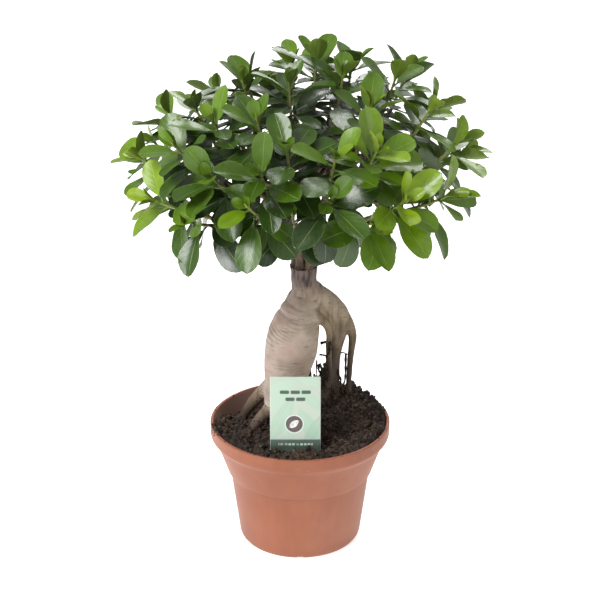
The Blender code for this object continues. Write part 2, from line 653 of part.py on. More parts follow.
# --- crown meshes --------------------------------------------------------------------------------
def leaf_mesh(leaf):
    """A leaf flat above, with a keel below along its midrib."""
    corners = []
    for middle, across, normal, half in blade_line(leaf, BLADE_SHARES, BLADE_WIDTHS):
        corners += [middle - across * half, middle + across * half, middle - normal * LEAF_KEEL]
    mesh = mesh_of(corners, bar_faces(len(BLADE_SHARES), 3), "leaf")
    tidy = bmesh.new()
    tidy.from_mesh(mesh)
    bmesh.ops.recalc_face_normals(tidy, faces=tidy.faces)
    tidy.to_mesh(mesh)
    tidy.free()
    return mesh


def make_shoot(shoot, finish):
    """One twig with its bud and its leaves, as one solid."""
    made = shown(shoot["name"], tube(*shoot["twig"], 4), finish)
    if shoot["leaves"]:
        leaves = joined([leaf_mesh(leaf) for leaf in shoot["leaves"]], shoot["name"] + "_leaves")
        boolean(made, helper(shoot["name"] + "_leaves", leaves), "UNION")
    return made


def make_graft(graft, finish):
    """One grafted branch with its limbs, as one solid."""
    made = shown("branch_" + graft["name"], tube(*graft["stem"], 8), finish)
    for k, limb in enumerate(graft["limbs"]):
        boolean(made, helper(f"limb_{graft['name']}_{k}", tube(*limb, 4)), "UNION")
    return made


# --- label ---------------------------------------------------------------------------------------
def make_label():
    """A printed plastic card with a pointed stake, leaning back a little."""
    half, stake = LABEL_WIDTH / 2, LABEL_STAKE_WIDTH / 2
    foot = -LABEL_STAKE_LENGTH
    outline = [(-half, 0), (-stake, -0.006), (-stake, foot + 0.012), (0, foot), (stake, foot + 0.012),
               (stake, -0.006), (half, 0), (half, LABEL_FACE_HEIGHT - 0.002),
               (half - 0.002, LABEL_FACE_HEIGHT), (-half + 0.002, LABEL_FACE_HEIGHT),
               (-half, LABEL_FACE_HEIGHT - 0.002)]
    flat = bmesh.new()
    card = flat.faces.new([flat.verts.new((x, -LABEL_THICKNESS / 2, z)) for x, z in outline])
    grown = bmesh.ops.extrude_face_region(flat, geom=[card])
    moved = [v for v in grown["geom"] if isinstance(v, bmesh.types.BMVert)]
    bmesh.ops.translate(flat, vec=(0, LABEL_THICKNESS, 0), verts=moved)
    bmesh.ops.recalc_face_normals(flat, faces=flat.faces)
    y = -(RIM_RADIUS - LABEL_FROM_RIM)
    lean_cos, lean_sin = math.cos(LABEL_LEAN), math.sin(LABEL_LEAN)
    base = float(compost_height(LABEL_X, y)) - LABEL_SUNK
    for vert in flat.verts:
        x, depth, z = vert.co
        vert.co = (x + LABEL_X, y + depth * lean_cos + z * lean_sin, base + z * lean_cos - depth * lean_sin)
    mesh = bpy.data.meshes.new("label")
    flat.to_mesh(mesh)
    flat.free()
    return shown("label", mesh, material("printed_card", (0.62, 0.80, 0.68), 0.4))


def main():
    for old in list(bpy.data.objects):
        bpy.data.objects.remove(old)
    make_pot()
    trunk, sawn_top = make_trunk()
    make_compost(trunk, make_label())
    grafts, shoots = crown_plan(sawn_top)
    bark = material("young_bark", (0.16, 0.10, 0.07), 0.8)
    green = material("ficus_leaf", (0.09, 0.22, 0.05), 0.35)
    for graft in grafts:
        make_graft(graft, bark)
    for shoot in shoots:
        make_shoot(shoot, green)


main()
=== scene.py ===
"""Looks of a ginseng ficus bonsai in its nursery pot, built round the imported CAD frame.

Lengths are in metres and the frame is the CAD's: +Z up, -Y towards the side with the plant label.
"""

import math
import random

import bpy
import numpy as np
from mathutils.bvhtree import BVHTree
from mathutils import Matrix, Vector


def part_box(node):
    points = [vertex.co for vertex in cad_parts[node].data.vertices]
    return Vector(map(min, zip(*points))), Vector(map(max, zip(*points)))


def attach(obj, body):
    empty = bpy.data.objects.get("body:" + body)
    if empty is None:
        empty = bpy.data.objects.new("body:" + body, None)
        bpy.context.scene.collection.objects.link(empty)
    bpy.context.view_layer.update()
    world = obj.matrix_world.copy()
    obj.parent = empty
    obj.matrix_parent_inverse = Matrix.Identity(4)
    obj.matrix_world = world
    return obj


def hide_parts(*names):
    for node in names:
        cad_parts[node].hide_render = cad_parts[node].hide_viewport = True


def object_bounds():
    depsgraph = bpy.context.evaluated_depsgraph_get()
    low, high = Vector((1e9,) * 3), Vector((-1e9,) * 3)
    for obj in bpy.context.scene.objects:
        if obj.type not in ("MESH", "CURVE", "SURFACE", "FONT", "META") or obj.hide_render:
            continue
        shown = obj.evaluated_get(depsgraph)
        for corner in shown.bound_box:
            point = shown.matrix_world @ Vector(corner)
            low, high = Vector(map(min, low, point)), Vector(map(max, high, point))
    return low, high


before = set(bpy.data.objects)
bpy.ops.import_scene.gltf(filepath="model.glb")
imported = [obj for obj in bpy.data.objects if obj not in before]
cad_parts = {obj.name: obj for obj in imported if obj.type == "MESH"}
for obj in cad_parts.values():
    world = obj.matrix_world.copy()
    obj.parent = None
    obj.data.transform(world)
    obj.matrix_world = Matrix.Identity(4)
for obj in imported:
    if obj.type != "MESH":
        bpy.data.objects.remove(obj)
CAD_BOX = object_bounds()

bl_info = {
    "name": "Ginseng Ficus Bonsai",
    "version": (1, 0, 0),
    "blender": (4, 5, 0),
    "location": "3D View > Sidebar > Bonsai",
    "description": "A grafted ficus bonsai with its roots, leaves, compost, pot and plant label",
    "category": "Add Mesh",
}

MM = 0.001
CLEARANCE = 0.0003  # between pieces that touch

# A direction that no path here runs along, so it gives every path a side.
ODD_WAY = np.array([0.31, 0.17, 0.93])

# The pot's and the plant's sizes, as the CAD part has them. First the pot, from its foot to its lip.
RIM_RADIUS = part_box("pot")[1].x
POT_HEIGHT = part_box("pot")[1].z
BASE_RADIUS = 0.683 * RIM_RADIUS
BODY_TOP_RADIUS = 0.784 * RIM_RADIUS
STEP_HEIGHT = 0.577 * POT_HEIGHT
STEP_WIDTH = 0.0018
COLLAR_TOP_RADIUS = 0.936 * RIM_RADIUS
LIP_HEIGHT = 0.010
LIP_FLARE = 0.005
LIP_THICKNESS = 0.0026
WALL = 0.0013
FLOOR_TOP = 0.004
FOOT_RELIEF = 0.002
HUB_RADIUS = 0.229 * RIM_RADIUS
FOOT_RING_WIDTH = 0.007
EDGE_ROUND = 0.0028
DRAIN_COUNT = 6
DRAIN_RADIUS = 0.0045
DRAIN_CIRCLE = 0.414 * RIM_RADIUS
NOTCH_WIDTH = 0.005

# The compost, how far it stays below the rim, and its mound and hollow.
COMPOST_DROP = 0.0035
MOUND_HEIGHT = 0.0115
MOUND_SPREAD = 0.030
HOLLOW_DEPTH = 0.014
HOLLOW_SPREAD = 0.019

# The trunk and the crown. The tables of roots and grafts are drawn at the sizes called DRAWN, in mm.
TRUNK_X = 0.003
TRUNK_Y = 0.006
COMPOST_LEVEL = POT_HEIGHT - COMPOST_DROP
SAWN_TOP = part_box("rootstock")[1].z
TRUNK_HEIGHT = SAWN_TOP + 0.001 - COMPOST_LEVEL
DRAWN_TRUNK_HEIGHT = 131.0
CROWN_REACH = 0.125
DRAWN_REACH = 118.0
DRAWN_LEAF = 47.0
CROWN_HEART = np.array([TRUNK_X, TRUNK_Y, COMPOST_LEVEL + TRUNK_HEIGHT + 0.014])

# Grafts, limbs and twigs: radii, and a twig's share of the way from the crown's heart to its tip.
GRAFT_RING = 0.0066
GRAFT_RADIUS = 0.0029
FORK_RADIUS = 0.0023
BRANCH_END_RADIUS = 0.0015
TWIG_TIP_RADIUS = 0.0007
TWIG_SHARE = 0.36

# Leaves: the longest one, its keep-out sizes, and the turn from one leaf to the next round a twig.
LEAF_LENGTH = 0.045
LEAF_WIDTH_SHARE = 0.50
LEAF_THICKNESS = 0.0012
LEAF_GAP = 0.0009
LEAF_TURN = math.radians(137.5)

# The label, and where it stands.
LABEL_WIDTH = 0.038
LABEL_FACE_HEIGHT = 0.067
LABEL_SUNK = 0.008
LABEL_STAKE_LENGTH = 0.022
LABEL_STAKE_WIDTH = 0.014
LABEL_LEAN = math.radians(9)
LABEL_X = -0.0035
LABEL_FROM_RIM = 0.0185

# Each root is a list of (x, y, height above the compost, radius). The first is the neck and the
# swollen storage root under it; the others leave it and go down into the compost.
ROOTS = [
    [(0, 0, 131, 10.6), (0, 0, 120, 10.0), (1, 0, 110, 10.2), (0, -1, 100, 12.5),
     (-4, -2, 89, 16.5), (-7, -4, 77, 19.4), (-10, -5, 64, 20.2), (-13, -6, 51, 19.2),
     (-15, -6, 38, 17.0), (-17, -6, 26, 15.2), (-18, -6, 12, 13.5), (-18, -5, -4, 10.5),
     (-17, -4, -20, 6.5)],
    [(4, 1, 111, 9.2), (14, 5, 101, 8.8), (23, 9, 91, 8.3), (28, 12, 82, 7.4), (27, 14, 69, 6.4),
     (25, 15, 56, 5.5), (24, 16, 43, 5.0), (23.5, 17, 23, 5.2), (23.5, 18, 2, 5.0),
     (23, 19, -16, 3.2)],
    [(25, 10, 90, 6.6), (32, 12, 81, 4.9), (36.5, 14, 72, 3.6), (38, 15, 63, 3.2),
     (36.5, 16, 45, 2.8), (35.5, 17, 24, 2.5), (35, 18, 4, 2.3), (34, 19, -12, 1.9)],
    [(2, -6, 98, 5.5), (10, -8, 91, 4.3), (17, -6, 84, 3.3), (19.5, -4, 75, 2.8),
     (19, -2, 65, 2.5), (19.5, 1, 53, 2.4), (20, 5, 42, 2.4), (19.5, 9, 28, 2.6), (18, 9, 6, 2.8),
     (17, 9, -10, 2.2)],
    [(8, -3, 97, 6.5), (14, 0, 90, 5.6), (20, 3, 80, 4.6), (23, 7, 69, 4.2), (24, 11, 58, 4.0)],
    [(23, 15, 47, 4.6), (19, 12, 33, 5.4), (14, 8, 18, 6.2), (10, 5, 3, 6.4), (8, 4, -12, 4.0)],
    [(-3, 6, 102, 9.0), (-7, 15, 88, 9.0), (-11, 23, 68, 8.2), (-14, 29, 46, 7.2),
     (-17, 33, 22, 6.4), (-19, 35, 0, 5.6), (-20, 36, -16, 3.6)],
    [(6, 8, 98, 6.0), (4, 19, 84, 5.2), (1, 27, 64, 4.4), (1, 32, 40, 3.8), (4, 35, 14, 3.4),
     (6, 36, -12, 2.4)],
    [(-24, -2, 32, 8.0), (-33, 6, 20, 5.6), (-42, 9, 8, 4.4), (-48, 10, -3, 3.6),
     (-50, 10, -14, 2.6)],
    [(-23, -12, 20, 6.0), (-32, -16, 11, 4.6), (-40, -19, 2, 3.6), (-46, -20, -8, 2.6)],
]

# Each graft: its name, its bearing on the sawn top (None is the middle), the place where it forks,
# from the crown's heart, and its shoots. A shoot is the place of its tip from the heart, how far it
# turns up to the light, its number of leaves, the length of its leaves, and its first leaf's bearing.
GRAFTS = [
    ("left", 180, (-42, -3, 28), [
        (-112, -14, 70, 20, 8, 46, 20), (-75, -8, 106, 45, 8, 44, 60),
        (-84, -50, 88, 20, 8, 46, 200), (-100, -56, 54, 0, 8, 44, 110),
        (-76, -72, 44, -10, 8, 48, 75), (-60, -80, 78, 12, 8, 46, 310),
        (-106, 34, 66, 10, 8, 45, 150), (-74, -20, 36, -35, 6, 44, 30),
        (-94, 14, 92, 30, 8, 45, 240)]),
    ("front", 240, (-12, -42, 28), [
        (-28, -92, 84, 12, 8, 45, 10), (-36, -94, 62, 2, 8, 45, 220),
        (-11, -84, 96, 30, 8, 44, 90), (-8, -86, 54, 8, 8, 46, 215),
        (17, -98, 68, 0, 8, 48, 265), (-30, -60, 108, 40, 8, 44, 170)]),
    ("front_right", 300, (38, -36, 30), [
        (20, -84, 92, 25, 8, 44, 45), (46, -78, 94, 35, 8, 45, 130),
        (64, -84, 62, 0, 8, 48, 200), (44, -86, 48, -20, 8, 46, 300),
        (96, -52, 56, 0, 8, 47, 0), (78, -20, 40, -35, 6, 44, 80)]),
    ("right", 0, (46, 10, 34), [
        (84, -18, 104, 40, 8, 44, 100), (103, -26, 84, 20, 8, 45, 340),
        (112, 14, 66, 5, 8, 45, 20), (92, 44, 90, 20, 8, 45, 250),
        (98, 46, 50, -15, 8, 45, 60), (72, 38, 116, 50, 8, 44, 180),
        (62, 4, 120, 55, 8, 44, 300)]),
    ("back_right", 60, (20, 42, 32), [
        (22, 84, 98, 30, 8, 45, 0), (56, 82, 80, 10, 8, 45, 120),
        (30, 100, 54, -10, 8, 46, 200), (72, 76, 46, -25, 8, 46, 320),
        (0, 92, 42, -35, 6, 46, 40)]),
    ("back_left", 120, (-34, 36, 32), [
        (-62, 58, 96, 25, 8, 45, 80), (-90, 62, 54, -5, 8, 45, 190),
        (-52, 90, 66, 0, 8, 45, 300), (-24, 82, 90, 20, 8, 45, 20),
        (-58, 72, 40, -30, 6, 46, 140)]),
    ("middle", None, (2, 4, 60), [
        (-42, 6, 118, 60, 8, 43, 40), (-60, -44, 104, 30, 8, 45, 330),
        (-10, -24, 124, 60, 8, 44, 150), (26, -10, 126, 70, 8, 44, 260),
        (44, -38, 112, 50, 8, 44, 20), (-8, 36, 124, 60, 8, 44, 110),
        (34, 44, 120, 50, 8, 44, 220), (-40, 44, 110, 45, 8, 44, 0),
        (8, 12, 132, 80, 8, 42, 70)]),
]

# How young the leaves of some shoots are, from 0 (old, dark) to 1 (fresh, yellow-green). Others are 0.25.
SHOOT_YOUTH = {
    1: 0.50, 2: 0.30, 3: 0.25, 4: 0.55, 5: 0.20, 7: 0.45, 9: 0.30, 10: 0.25, 11: 0.40, 12: 0.20,
    13: 0.20, 14: 0.15, 15: 0.20, 16: 0.35, 17: 0.62, 18: 0.60, 19: 0.45, 20: 0.50, 21: 0.20, 22: 0.50,
    23: 0.45, 24: 0.42, 25: 0.40, 26: 0.30, 27: 0.20, 40: 0.30, 41: 0.15, 42: 0.30, 43: 0.35, 44: 0.40,
}


# --- arrays and meshes ---
def per(millimetres):
    """How often a pattern of this size repeats in a metre."""
    return 1 / (millimetres * MM)


def unit(vector):
    return vector / np.linalg.norm(vector)


def units(vectors):
    return vectors / np.maximum(np.linalg.norm(vectors, axis=-1, keepdims=True), 1e-12)


def sides_of(axis):
    """Two directions square to an axis and to each other."""
    side = unit(np.cross(axis, ODD_WAY))
    return side, np.cross(axis, side)


def leaning(axis, bearing, lean):
    """The way of a leaf at a bearing round an axis and a lean off it, and where its face then looks."""
    side, over = sides_of(axis)
    out = side * math.cos(bearing) + over * math.sin(bearing)
    return (axis * math.cos(lean) + out * math.sin(lean),
            axis * math.sin(lean) - out * math.cos(lean))


def smooth_path(points, count):
    """A Catmull-Rom curve through the points, as count points evenly spread in its parameter."""
    p = np.asarray(points, float)
    p = np.vstack([2 * p[0] - p[1], p, 2 * p[-1] - p[-2]])
    at = np.linspace(0, len(p) - 3, count)
    k = np.minimum(at.astype(int), len(p) - 4)
    t = (at - k)[:, None]
    a, b, c, d = (p[k + j] for j in range(4))
    return 0.5 * (2 * b + (c - a) * t + (2 * a - 5 * b + 4 * c - d) * t**2
                  + (3 * b - a - 3 * c + d) * t**3)


def bezier(a, b, c, d, count):
    """Points of the cubic from a to d with handles b and c."""
    t = np.linspace(0, 1, count)[:, None]
    return a * (1 - t) ** 3 + 3 * b * t * (1 - t) ** 2 + 3 * c * t**2 * (1 - t) + d * t**3


def noise(points, seed=0):
    """Smooth noise from -1 to 1: a fixed random value at each whole-number corner, blended between
    the eight corners round a point with 3t^2 - 2t^3. Points in metres times f give lumps about
    1000 / f mm wide."""
    cell = np.floor(points).astype(np.int64)
    t = points - cell
    t = t * t * (3 - 2 * t)
    total = np.zeros(len(points))
    for corner in np.ndindex(2, 2, 2):
        mixed = (cell + corner) @ np.array([374761393, 668265263, 1440662683]) + seed * 1274126177
        mixed = (mixed ^ (mixed >> 13)) * 1103515245
        value = ((mixed ^ (mixed >> 16)) & 0xFFFF) / 32768.0 - 1
        total += value * np.prod(np.where(corner, t, 1 - t), axis=1)
    return total


def layered_noise(points, layers, seed=0):
    """Noise plus finer noise of half its height, and so on for a number of layers."""
    return sum(noise(points * 2.03**k, seed + k) * 0.5**k for k in range(layers))


def surface(name, points, *face_sets, smooth=True):
    """A mesh of the points and of arrays of faces, each array with faces of one size."""
    mesh = bpy.data.meshes.new(name)
    face_sets = [np.asarray(f, np.int32) for f in face_sets if len(f)]
    sizes = np.concatenate([np.full(len(f), f.shape[1], np.int32) for f in face_sets])
    corners = np.concatenate([f.ravel() for f in face_sets])
    mesh.vertices.add(len(points))
    mesh.vertices.foreach_set("co", np.asarray(points, np.float32).ravel())
    mesh.loops.add(len(corners))
    mesh.loops.foreach_set("vertex_index", corners)
    mesh.polygons.add(len(sizes))
    mesh.polygons.foreach_set("loop_start", (np.cumsum(sizes) - sizes).astype(np.int32))
    mesh.update(calc_edges=True)
    mesh.polygons.foreach_set("use_smooth", np.full(len(sizes), smooth))
    return mesh


def swept(rings, ends):
    """Closed surfaces through rings of points, each surface closed by a fan to a point at each end.

    rings is (shapes, n, k, 3) and ends is (shapes, 2, 3). A ring turns anticlockwise as seen against
    the way it travels, so faces point outwards. Returns all the points, the quads and the triangles.
    """
    shapes, n, k, _ = rings.shape
    points = np.concatenate([rings.reshape(shapes, n * k, 3), ends], axis=1)
    i, j = np.meshgrid(np.arange(n - 1), np.arange(k), indexing="ij")
    beside = (j + 1) % k
    quads = np.stack([i * k + j, i * k + beside, (i + 1) * k + beside, (i + 1) * k + j], -1)
    j = np.arange(k)
    beside = (j + 1) % k
    first = np.stack([np.full(k, n * k), beside, j], -1)
    last = np.stack([np.full(k, n * k + 1), (n - 1) * k + j, (n - 1) * k + beside], -1)
    offset = np.arange(shapes)[:, None, None] * (n * k + 2)
    return (points.reshape(-1, 3), (quads.reshape(1, -1, 4) + offset).reshape(-1, 4),
            (np.concatenate([first, last])[None] + offset).reshape(-1, 3))


def tube(points, radii, sides):
    """A round profile carried along a path: at each point, a circle across the path's direction."""
    points = np.asarray(points, float)
    way = units(np.gradient(points, axis=0))
    side = units(np.cross(way, unit(ODD_WAY)))
    over = np.cross(way, side)
    turn = np.linspace(0, math.tau, sides, endpoint=False)
    radii = np.asarray(radii, float).reshape(len(points), -1, 1)
    rings = points[:, None] + radii * (side[:, None] * np.cos(turn)[None, :, None]
                                       + over[:, None] * np.sin(turn)[None, :, None])
    return swept(rings[None], points[None, [0, -1]])


def lathe(profile, sides, wobble=0.0):
    """The outline of (radius, height) points carried round Z from its first point to its last, both on
    the axis. With wobble, the radius gains wobble times a slow wave round the turn."""
    profile = np.asarray(profile, float)
    turn = np.linspace(0, math.tau, sides, endpoint=False)
    radius = profile[1:-1, 0, None] * (1 + wobble * np.sin(2 * turn + 0.7) + 0.4 * wobble * np.sin(5 * turn))
    height = np.broadcast_to(profile[1:-1, 1, None], radius.shape)
    rings = np.stack([radius * np.cos(turn), radius * np.sin(turn), height], -1)
    ends = np.array([[0, 0, profile[0, 1]], [0, 0, profile[-1, 1]]])
    return swept(rings[None], ends[None])


def merged(parts):
    """Several (points, quads, triangles) as one."""
    starts = np.cumsum([0] + [len(part[0]) for part in parts[:-1]])
    return (np.concatenate([part[0] for part in parts]),
            np.concatenate([part[1] + s for part, s in zip(parts, starts)]),
            np.concatenate([part[2] + s for part, s in zip(parts, starts)]))


def rounded(outline, radius, steps=5):
    """An outline whose inner corners are eased by arcs: near each corner, a quadratic curve between
    the points at most radius away on its two sides."""
    outline = np.asarray(outline, float)
    out = [outline[0]]
    for before, corner, after in zip(outline, outline[1:], outline[2:]):
        a, b = before - corner, after - corner
        reach = min(radius, 0.45 * np.linalg.norm(a), 0.45 * np.linalg.norm(b))
        start, end = corner + unit(a) * reach, corner + unit(b) * reach
        t = np.linspace(0, 1, steps)[:, None]
        out += list(start * (1 - t) ** 2 + 2 * corner * t * (1 - t) + end * t**2)
    out.append(outline[-1])
    return np.array(out)


def spaced(outline, step):
    """The same outline with more points, none further apart than step."""
    out = [outline[0]]
    for a, b in zip(outline, outline[1:]):
        parts = max(1, math.ceil(np.linalg.norm(b - a) / step))
        out += [a + (b - a) * k / parts for k in range(1, parts + 1)]
    return np.array(out)


def piece(name, mesh, finishes, node=None):
    """A finished piece of the plant: it rides on the one body, and may stand for a CAD node."""
    made = bpy.data.objects.new(name, mesh)
    bpy.context.scene.collection.objects.link(made)
    for finish in finishes:
        mesh.materials.append(finish)
    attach(made, "root")
    if node:
        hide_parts(node)
    return made


def finished_mesh(made, *changes):
    """The object's mesh after modifiers, each (kind, settings), are applied. The object is removed."""
    for kind, settings in changes:
        step = made.modifiers.new(kind.lower(), kind)
        for key, value in settings.items():
            setattr(step, key, value)
    graph = bpy.context.evaluated_depsgraph_get()
    mesh = bpy.data.meshes.new_from_object(made.evaluated_get(graph))
    bpy.data.objects.remove(made)
    return mesh


def loose_object(name, mesh):
    made = bpy.data.objects.new(name, mesh)
    bpy.context.scene.collection.objects.link(made)
    return made


def fused(name, parts, voxel, rounds):
    """Overlapping tubes grown into one closed skin of small cells, smoothed a number of rounds."""
    made = loose_object(name, surface(name, *merged(parts)))
    mesh = finished_mesh(made, ("REMESH", {"mode": "VOXEL", "voxel_size": voxel}),
                         ("SMOOTH", {"factor": 0.5, "iterations": rounds}))
    mesh.polygons.foreach_set("use_smooth", np.full(len(mesh.polygons), True))
    return mesh


def points_of(mesh):
    """The mesh's points."""
    co = np.empty(len(mesh.vertices) * 3, np.float32)
    mesh.vertices.foreach_get("co", co)
    return co.reshape(-1, 3).astype(float)


def normals_of(mesh):
    """The mesh's vertex normals."""
    out = np.empty(len(mesh.vertices) * 3, np.float32)
    mesh.vertex_normals.foreach_get("vector", out)
    return out.reshape(-1, 3).astype(float)


def set_points(mesh, points):
    mesh.vertices.foreach_set("co", np.asarray(points, np.float32).ravel())
    mesh.update()


def point_value(mesh, name, values):
    """A number at each point of the mesh, for its material to read."""
    made = mesh.attributes.new(name, "FLOAT", "POINT")
    made.data.foreach_set("value", np.asarray(values, np.float32))


# --- materials ---
def linear(code):
    """The linear RGB of an sRGB hex colour."""
    channels = [int(code[k:k + 2], 16) / 255 for k in (1, 3, 5)]
    return [c / 12.92 if c <= 0.04045 else ((c + 0.055) / 1.055) ** 2.4 for c in channels]


def new_material(name, **sockets):
    """A Principled material, and its tree and shader. sockets sets the shader's own values."""
    made = bpy.data.materials.new(name)
    made.use_nodes = True
    shader = made.node_tree.nodes["Principled BSDF"]
    for key, value in sockets.items():
        shader.inputs[key.replace("_", " ")].default_value = value
    return made, made.node_tree, shader


def add(tree, kind, inputs=None, stops=None, **settings):
    """Adds a node. inputs gives its sockets a value or a link, and stops are a ramp's (place, hex)."""
    node = tree.nodes.new("ShaderNode" + kind)
    if kind == "Mix":  # here a mix is always one of colours
        node.data_type = "RGBA"
    for key, value in settings.items():
        setattr(node, key, value)
    for key, value in (inputs or {}).items():
        if isinstance(value, bpy.types.NodeSocket):
            tree.links.new(value, node.inputs[key])
        else:
            node.inputs[key].default_value = (*linear(value), 1) if isinstance(value, str) else value
    if stops:
        ramp = node.color_ramp.elements
        while len(ramp) < len(stops):
            ramp.new(0.5)
        for element, (place, code) in zip(ramp, stops):
            element.position = place
            element.color = (*linear(code), 1) if isinstance(code, str) else (code, code, code, 1)
    return node


# --- the plant's plan ---
# Where limbs leave a stem, counted along its ten points: the first shoot's place, how far below it the
# last one's is, and the lowest and the highest place that a limb may be moved to.
FIRST_FORK = 8.85
FORK_SPAN = 3.6
LOWEST_FORK = 2.2
HIGHEST_FORK = 8.9


def crown_plan(sawn_top):
    """The crown's branches, twigs and leaves as centrelines and frames, with no meshes.

    Returns the grafts as {"name", "stem": (points, radii), "limbs": [(points, radii)]} and the shoots
    as {"name", "twig": (points, radii), "leaves": [leaf]}, where a leaf is (foot, along, normal,
    length, age). No leaf meets another leaf, a twig or a branch: one that would is turned, tilted or
    made smaller until it is clear, and the last resort is to leave the leaf out.
    """
    scale = CROWN_REACH / DRAWN_REACH
    grafts, shoots = [], []
    for name, bearing, fork, rows in GRAFTS:
        ring = 0 if bearing is None else GRAFT_RING
        turn = math.radians(bearing or 0)
        foot = np.array([TRUNK_X + ring * math.cos(turn), TRUNK_Y + ring * math.sin(turn),
                         sawn_top + CLEARANCE])
        fork = CROWN_HEART + np.array(fork) * scale
        reach = np.linalg.norm(fork - foot)
        lead = unit(np.array([fork[0] - CROWN_HEART[0], fork[1] - CROWN_HEART[1], 0.5 * reach]))
        upright = foot + [0, 0, GRAFT_RADIUS]
        stem = bezier(upright, upright + [0, 0, 0.35 * reach], fork - lead * 0.35 * reach, fork, 9)
        stem = np.vstack([foot, stem])
        grafts.append({"name": name, "stem": (stem, np.linspace(GRAFT_RADIUS, FORK_RADIUS, len(stem))),
                       "limbs": []})
        for k, (x, y, z, lift, leaves, leaf_length, roll) in enumerate(rows):
            tip = CROWN_HEART + np.array([x, y, z]) * scale
            axis = unit(np.array([x, y, z + lift], float))
            length = TWIG_SHARE * np.linalg.norm([x, y, z]) * scale
            base = tip - axis * length
            sag = np.array([0, 0, -0.04 * length])
            twig = bezier(base, base + axis * length / 3, tip - axis * length / 3 + sag, tip, 5)
            shoots.append({"name": f"shoot_{len(shoots) + 1:02d}", "graft": grafts[-1], "axis": axis,
                           "fork": FIRST_FORK - FORK_SPAN * k / (len(rows) - 1), "count": leaves,
                           "reach": leaf_length * LEAF_LENGTH / DRAWN_LEAF, "roll": math.radians(roll),
                           "twig": (twig, np.linspace(BRANCH_END_RADIUS, TWIG_TIP_RADIUS, len(twig))),
                           "leaves": []})
    set_limbs(grafts, shoots)
    set_leaves(grafts, shoots)
    return grafts, shoots


def limb_to(shoot, spot, lift):
    """A limb from a place on its graft's stem to the foot of the shoot's twig, as (points, radii)."""
    stem = shoot["graft"]["stem"][0]
    low = int(spot)
    start = stem[low] + (stem[low + 1] - stem[low]) * (spot - low)
    base, axis = shoot["twig"][0][0], shoot["axis"]
    gap = np.linalg.norm(base - start)
    toward = unit(unit(base - start) + [0, 0, lift])
    end = base - axis * (CLEARANCE + BRANCH_END_RADIUS)
    limb = bezier(start, start + toward * 0.35 * gap, end - axis * 0.35 * gap, end, 5)
    limb = np.vstack([limb, base - axis * CLEARANCE])
    return limb, np.linspace(FORK_RADIUS * 0.85, BRANCH_END_RADIUS, len(limb))


def set_limbs(grafts, shoots):
    """Gives each shoot a limb that is clear of every other graft's wood and of every other twig."""
    stems = {graft["name"]: keep_out_tube(*graft["stem"]) for graft in grafts}
    twigs = {shoot["name"]: keep_out_tube(*shoot["twig"]) for shoot in shoots}
    taken = []
    for shoot in shoots:
        own = shoot["graft"]["name"]
        others = [stem for name, stem in stems.items() if name != own]
        others += [twig for name, twig in twigs.items() if name != shoot["name"]]
        others += [limb for name, limb in taken if name != own]
        for shift, lift in LIMB_TRIES:
            limb = limb_to(shoot, min(max(shoot["fork"] + shift, LOWEST_FORK), HIGHEST_FORK), lift)
            space = keep_out_tube(*limb)
            if not any(meets(space, other) for other in others):
                break
        else:
            raise ValueError("no clear way for the limb to " + shoot["name"])
        taken.append((own, space))
        shoot["graft"]["limbs"].append(limb)


def leaf_frame(shoot, index, turn=0.0, tilt=0.0, size=1.0):
    """Where a leaf's stalk starts, which way it points, where its upper face looks, and its length.

    From the twig's foot to its tip the leaves go round by LEAF_TURN, close up towards the axis, and
    are longest a third of the way up. Each face leans to the light and old leaves hang a little.
    """
    chance = random.Random(f"{shoot['name']}-{index}")
    share = index / (shoot["count"] - 1)
    points = shoot["twig"][0]
    along = 0.42 + 0.56 * share
    spot = along * (len(points) - 1)
    low = min(int(spot), len(points) - 2)
    foot = points[low] + (points[low + 1] - points[low]) * (spot - low)
    axis = unit(points[low + 1] - points[low])
    side = unit(np.cross(axis, [0.0, 0.0, 1.0] if abs(axis[2]) < 0.9 else [1.0, 0.0, 0.0]))
    over = np.cross(side, axis)
    bearing = shoot["roll"] + index * LEAF_TURN + math.radians(chance.uniform(-12, 12)) + turn
    out = side * math.cos(bearing) + over * math.sin(bearing)
    open_angle = math.radians(92 - 58 * share**1.3 + chance.uniform(-8, 8)) + tilt
    way = axis * math.cos(open_angle) + out * math.sin(open_angle)
    face = axis * math.sin(open_angle) - out * math.cos(open_angle)
    face = unit(face + [0, 0, 0.40])
    way = unit(way + np.array([0, 0, -0.16]) * (1 - share))
    face = unit(face - way * (face @ way))
    shape = np.interp(share, [0, 0.3, 0.7, 1.0], [0.86, 1.0, 0.92, 0.56])
    length = shoot["reach"] * shape * chance.uniform(0.90, 1.06) * size
    return foot, way, face, length, share


# The planned blade: its width as a share of its greatest, at shares of the leaf's length.
BLADE_SHARES = (0.0, 0.17, 0.42, 0.76, 1.0)
BLADE_WIDTHS = (0.045, 0.07, 0.94, 0.86, 0.06)


def arch_of(age):
    """How far a leaf's tip sinks, as a share of its length, from 0 (the oldest) to 1 (the youngest)."""
    return 0.20 - 0.12 * age


def blade_line(leaf, shares, widths):
    """(middle, across, normal, half width) at each share of a leaf's length. It arches to its tip."""
    foot, way, face, length, age = leaf
    arch = arch_of(age)
    for share, width in zip(shares, widths):
        middle = foot + way * length * (share - 0.35 * arch * share**2) - face * length * arch * share**2
        normal = unit(face + way * 2 * arch * share)
        yield middle, np.cross(way, face), normal, width * LEAF_WIDTH_SHARE * length / 2


def bar_faces(rings, sides):
    """The faces of the closed bar through rings of corners."""
    faces = [tuple(range(sides))[::-1]]
    for k in range(rings - 1):
        a, b = sides * k, sides * (k + 1)
        faces += [(a + j, a + (j + 1) % sides, b + (j + 1) % sides, b + j) for j in range(sides)]
    end = sides * (rings - 1)
    return faces + [tuple(range(end, end + sides))]


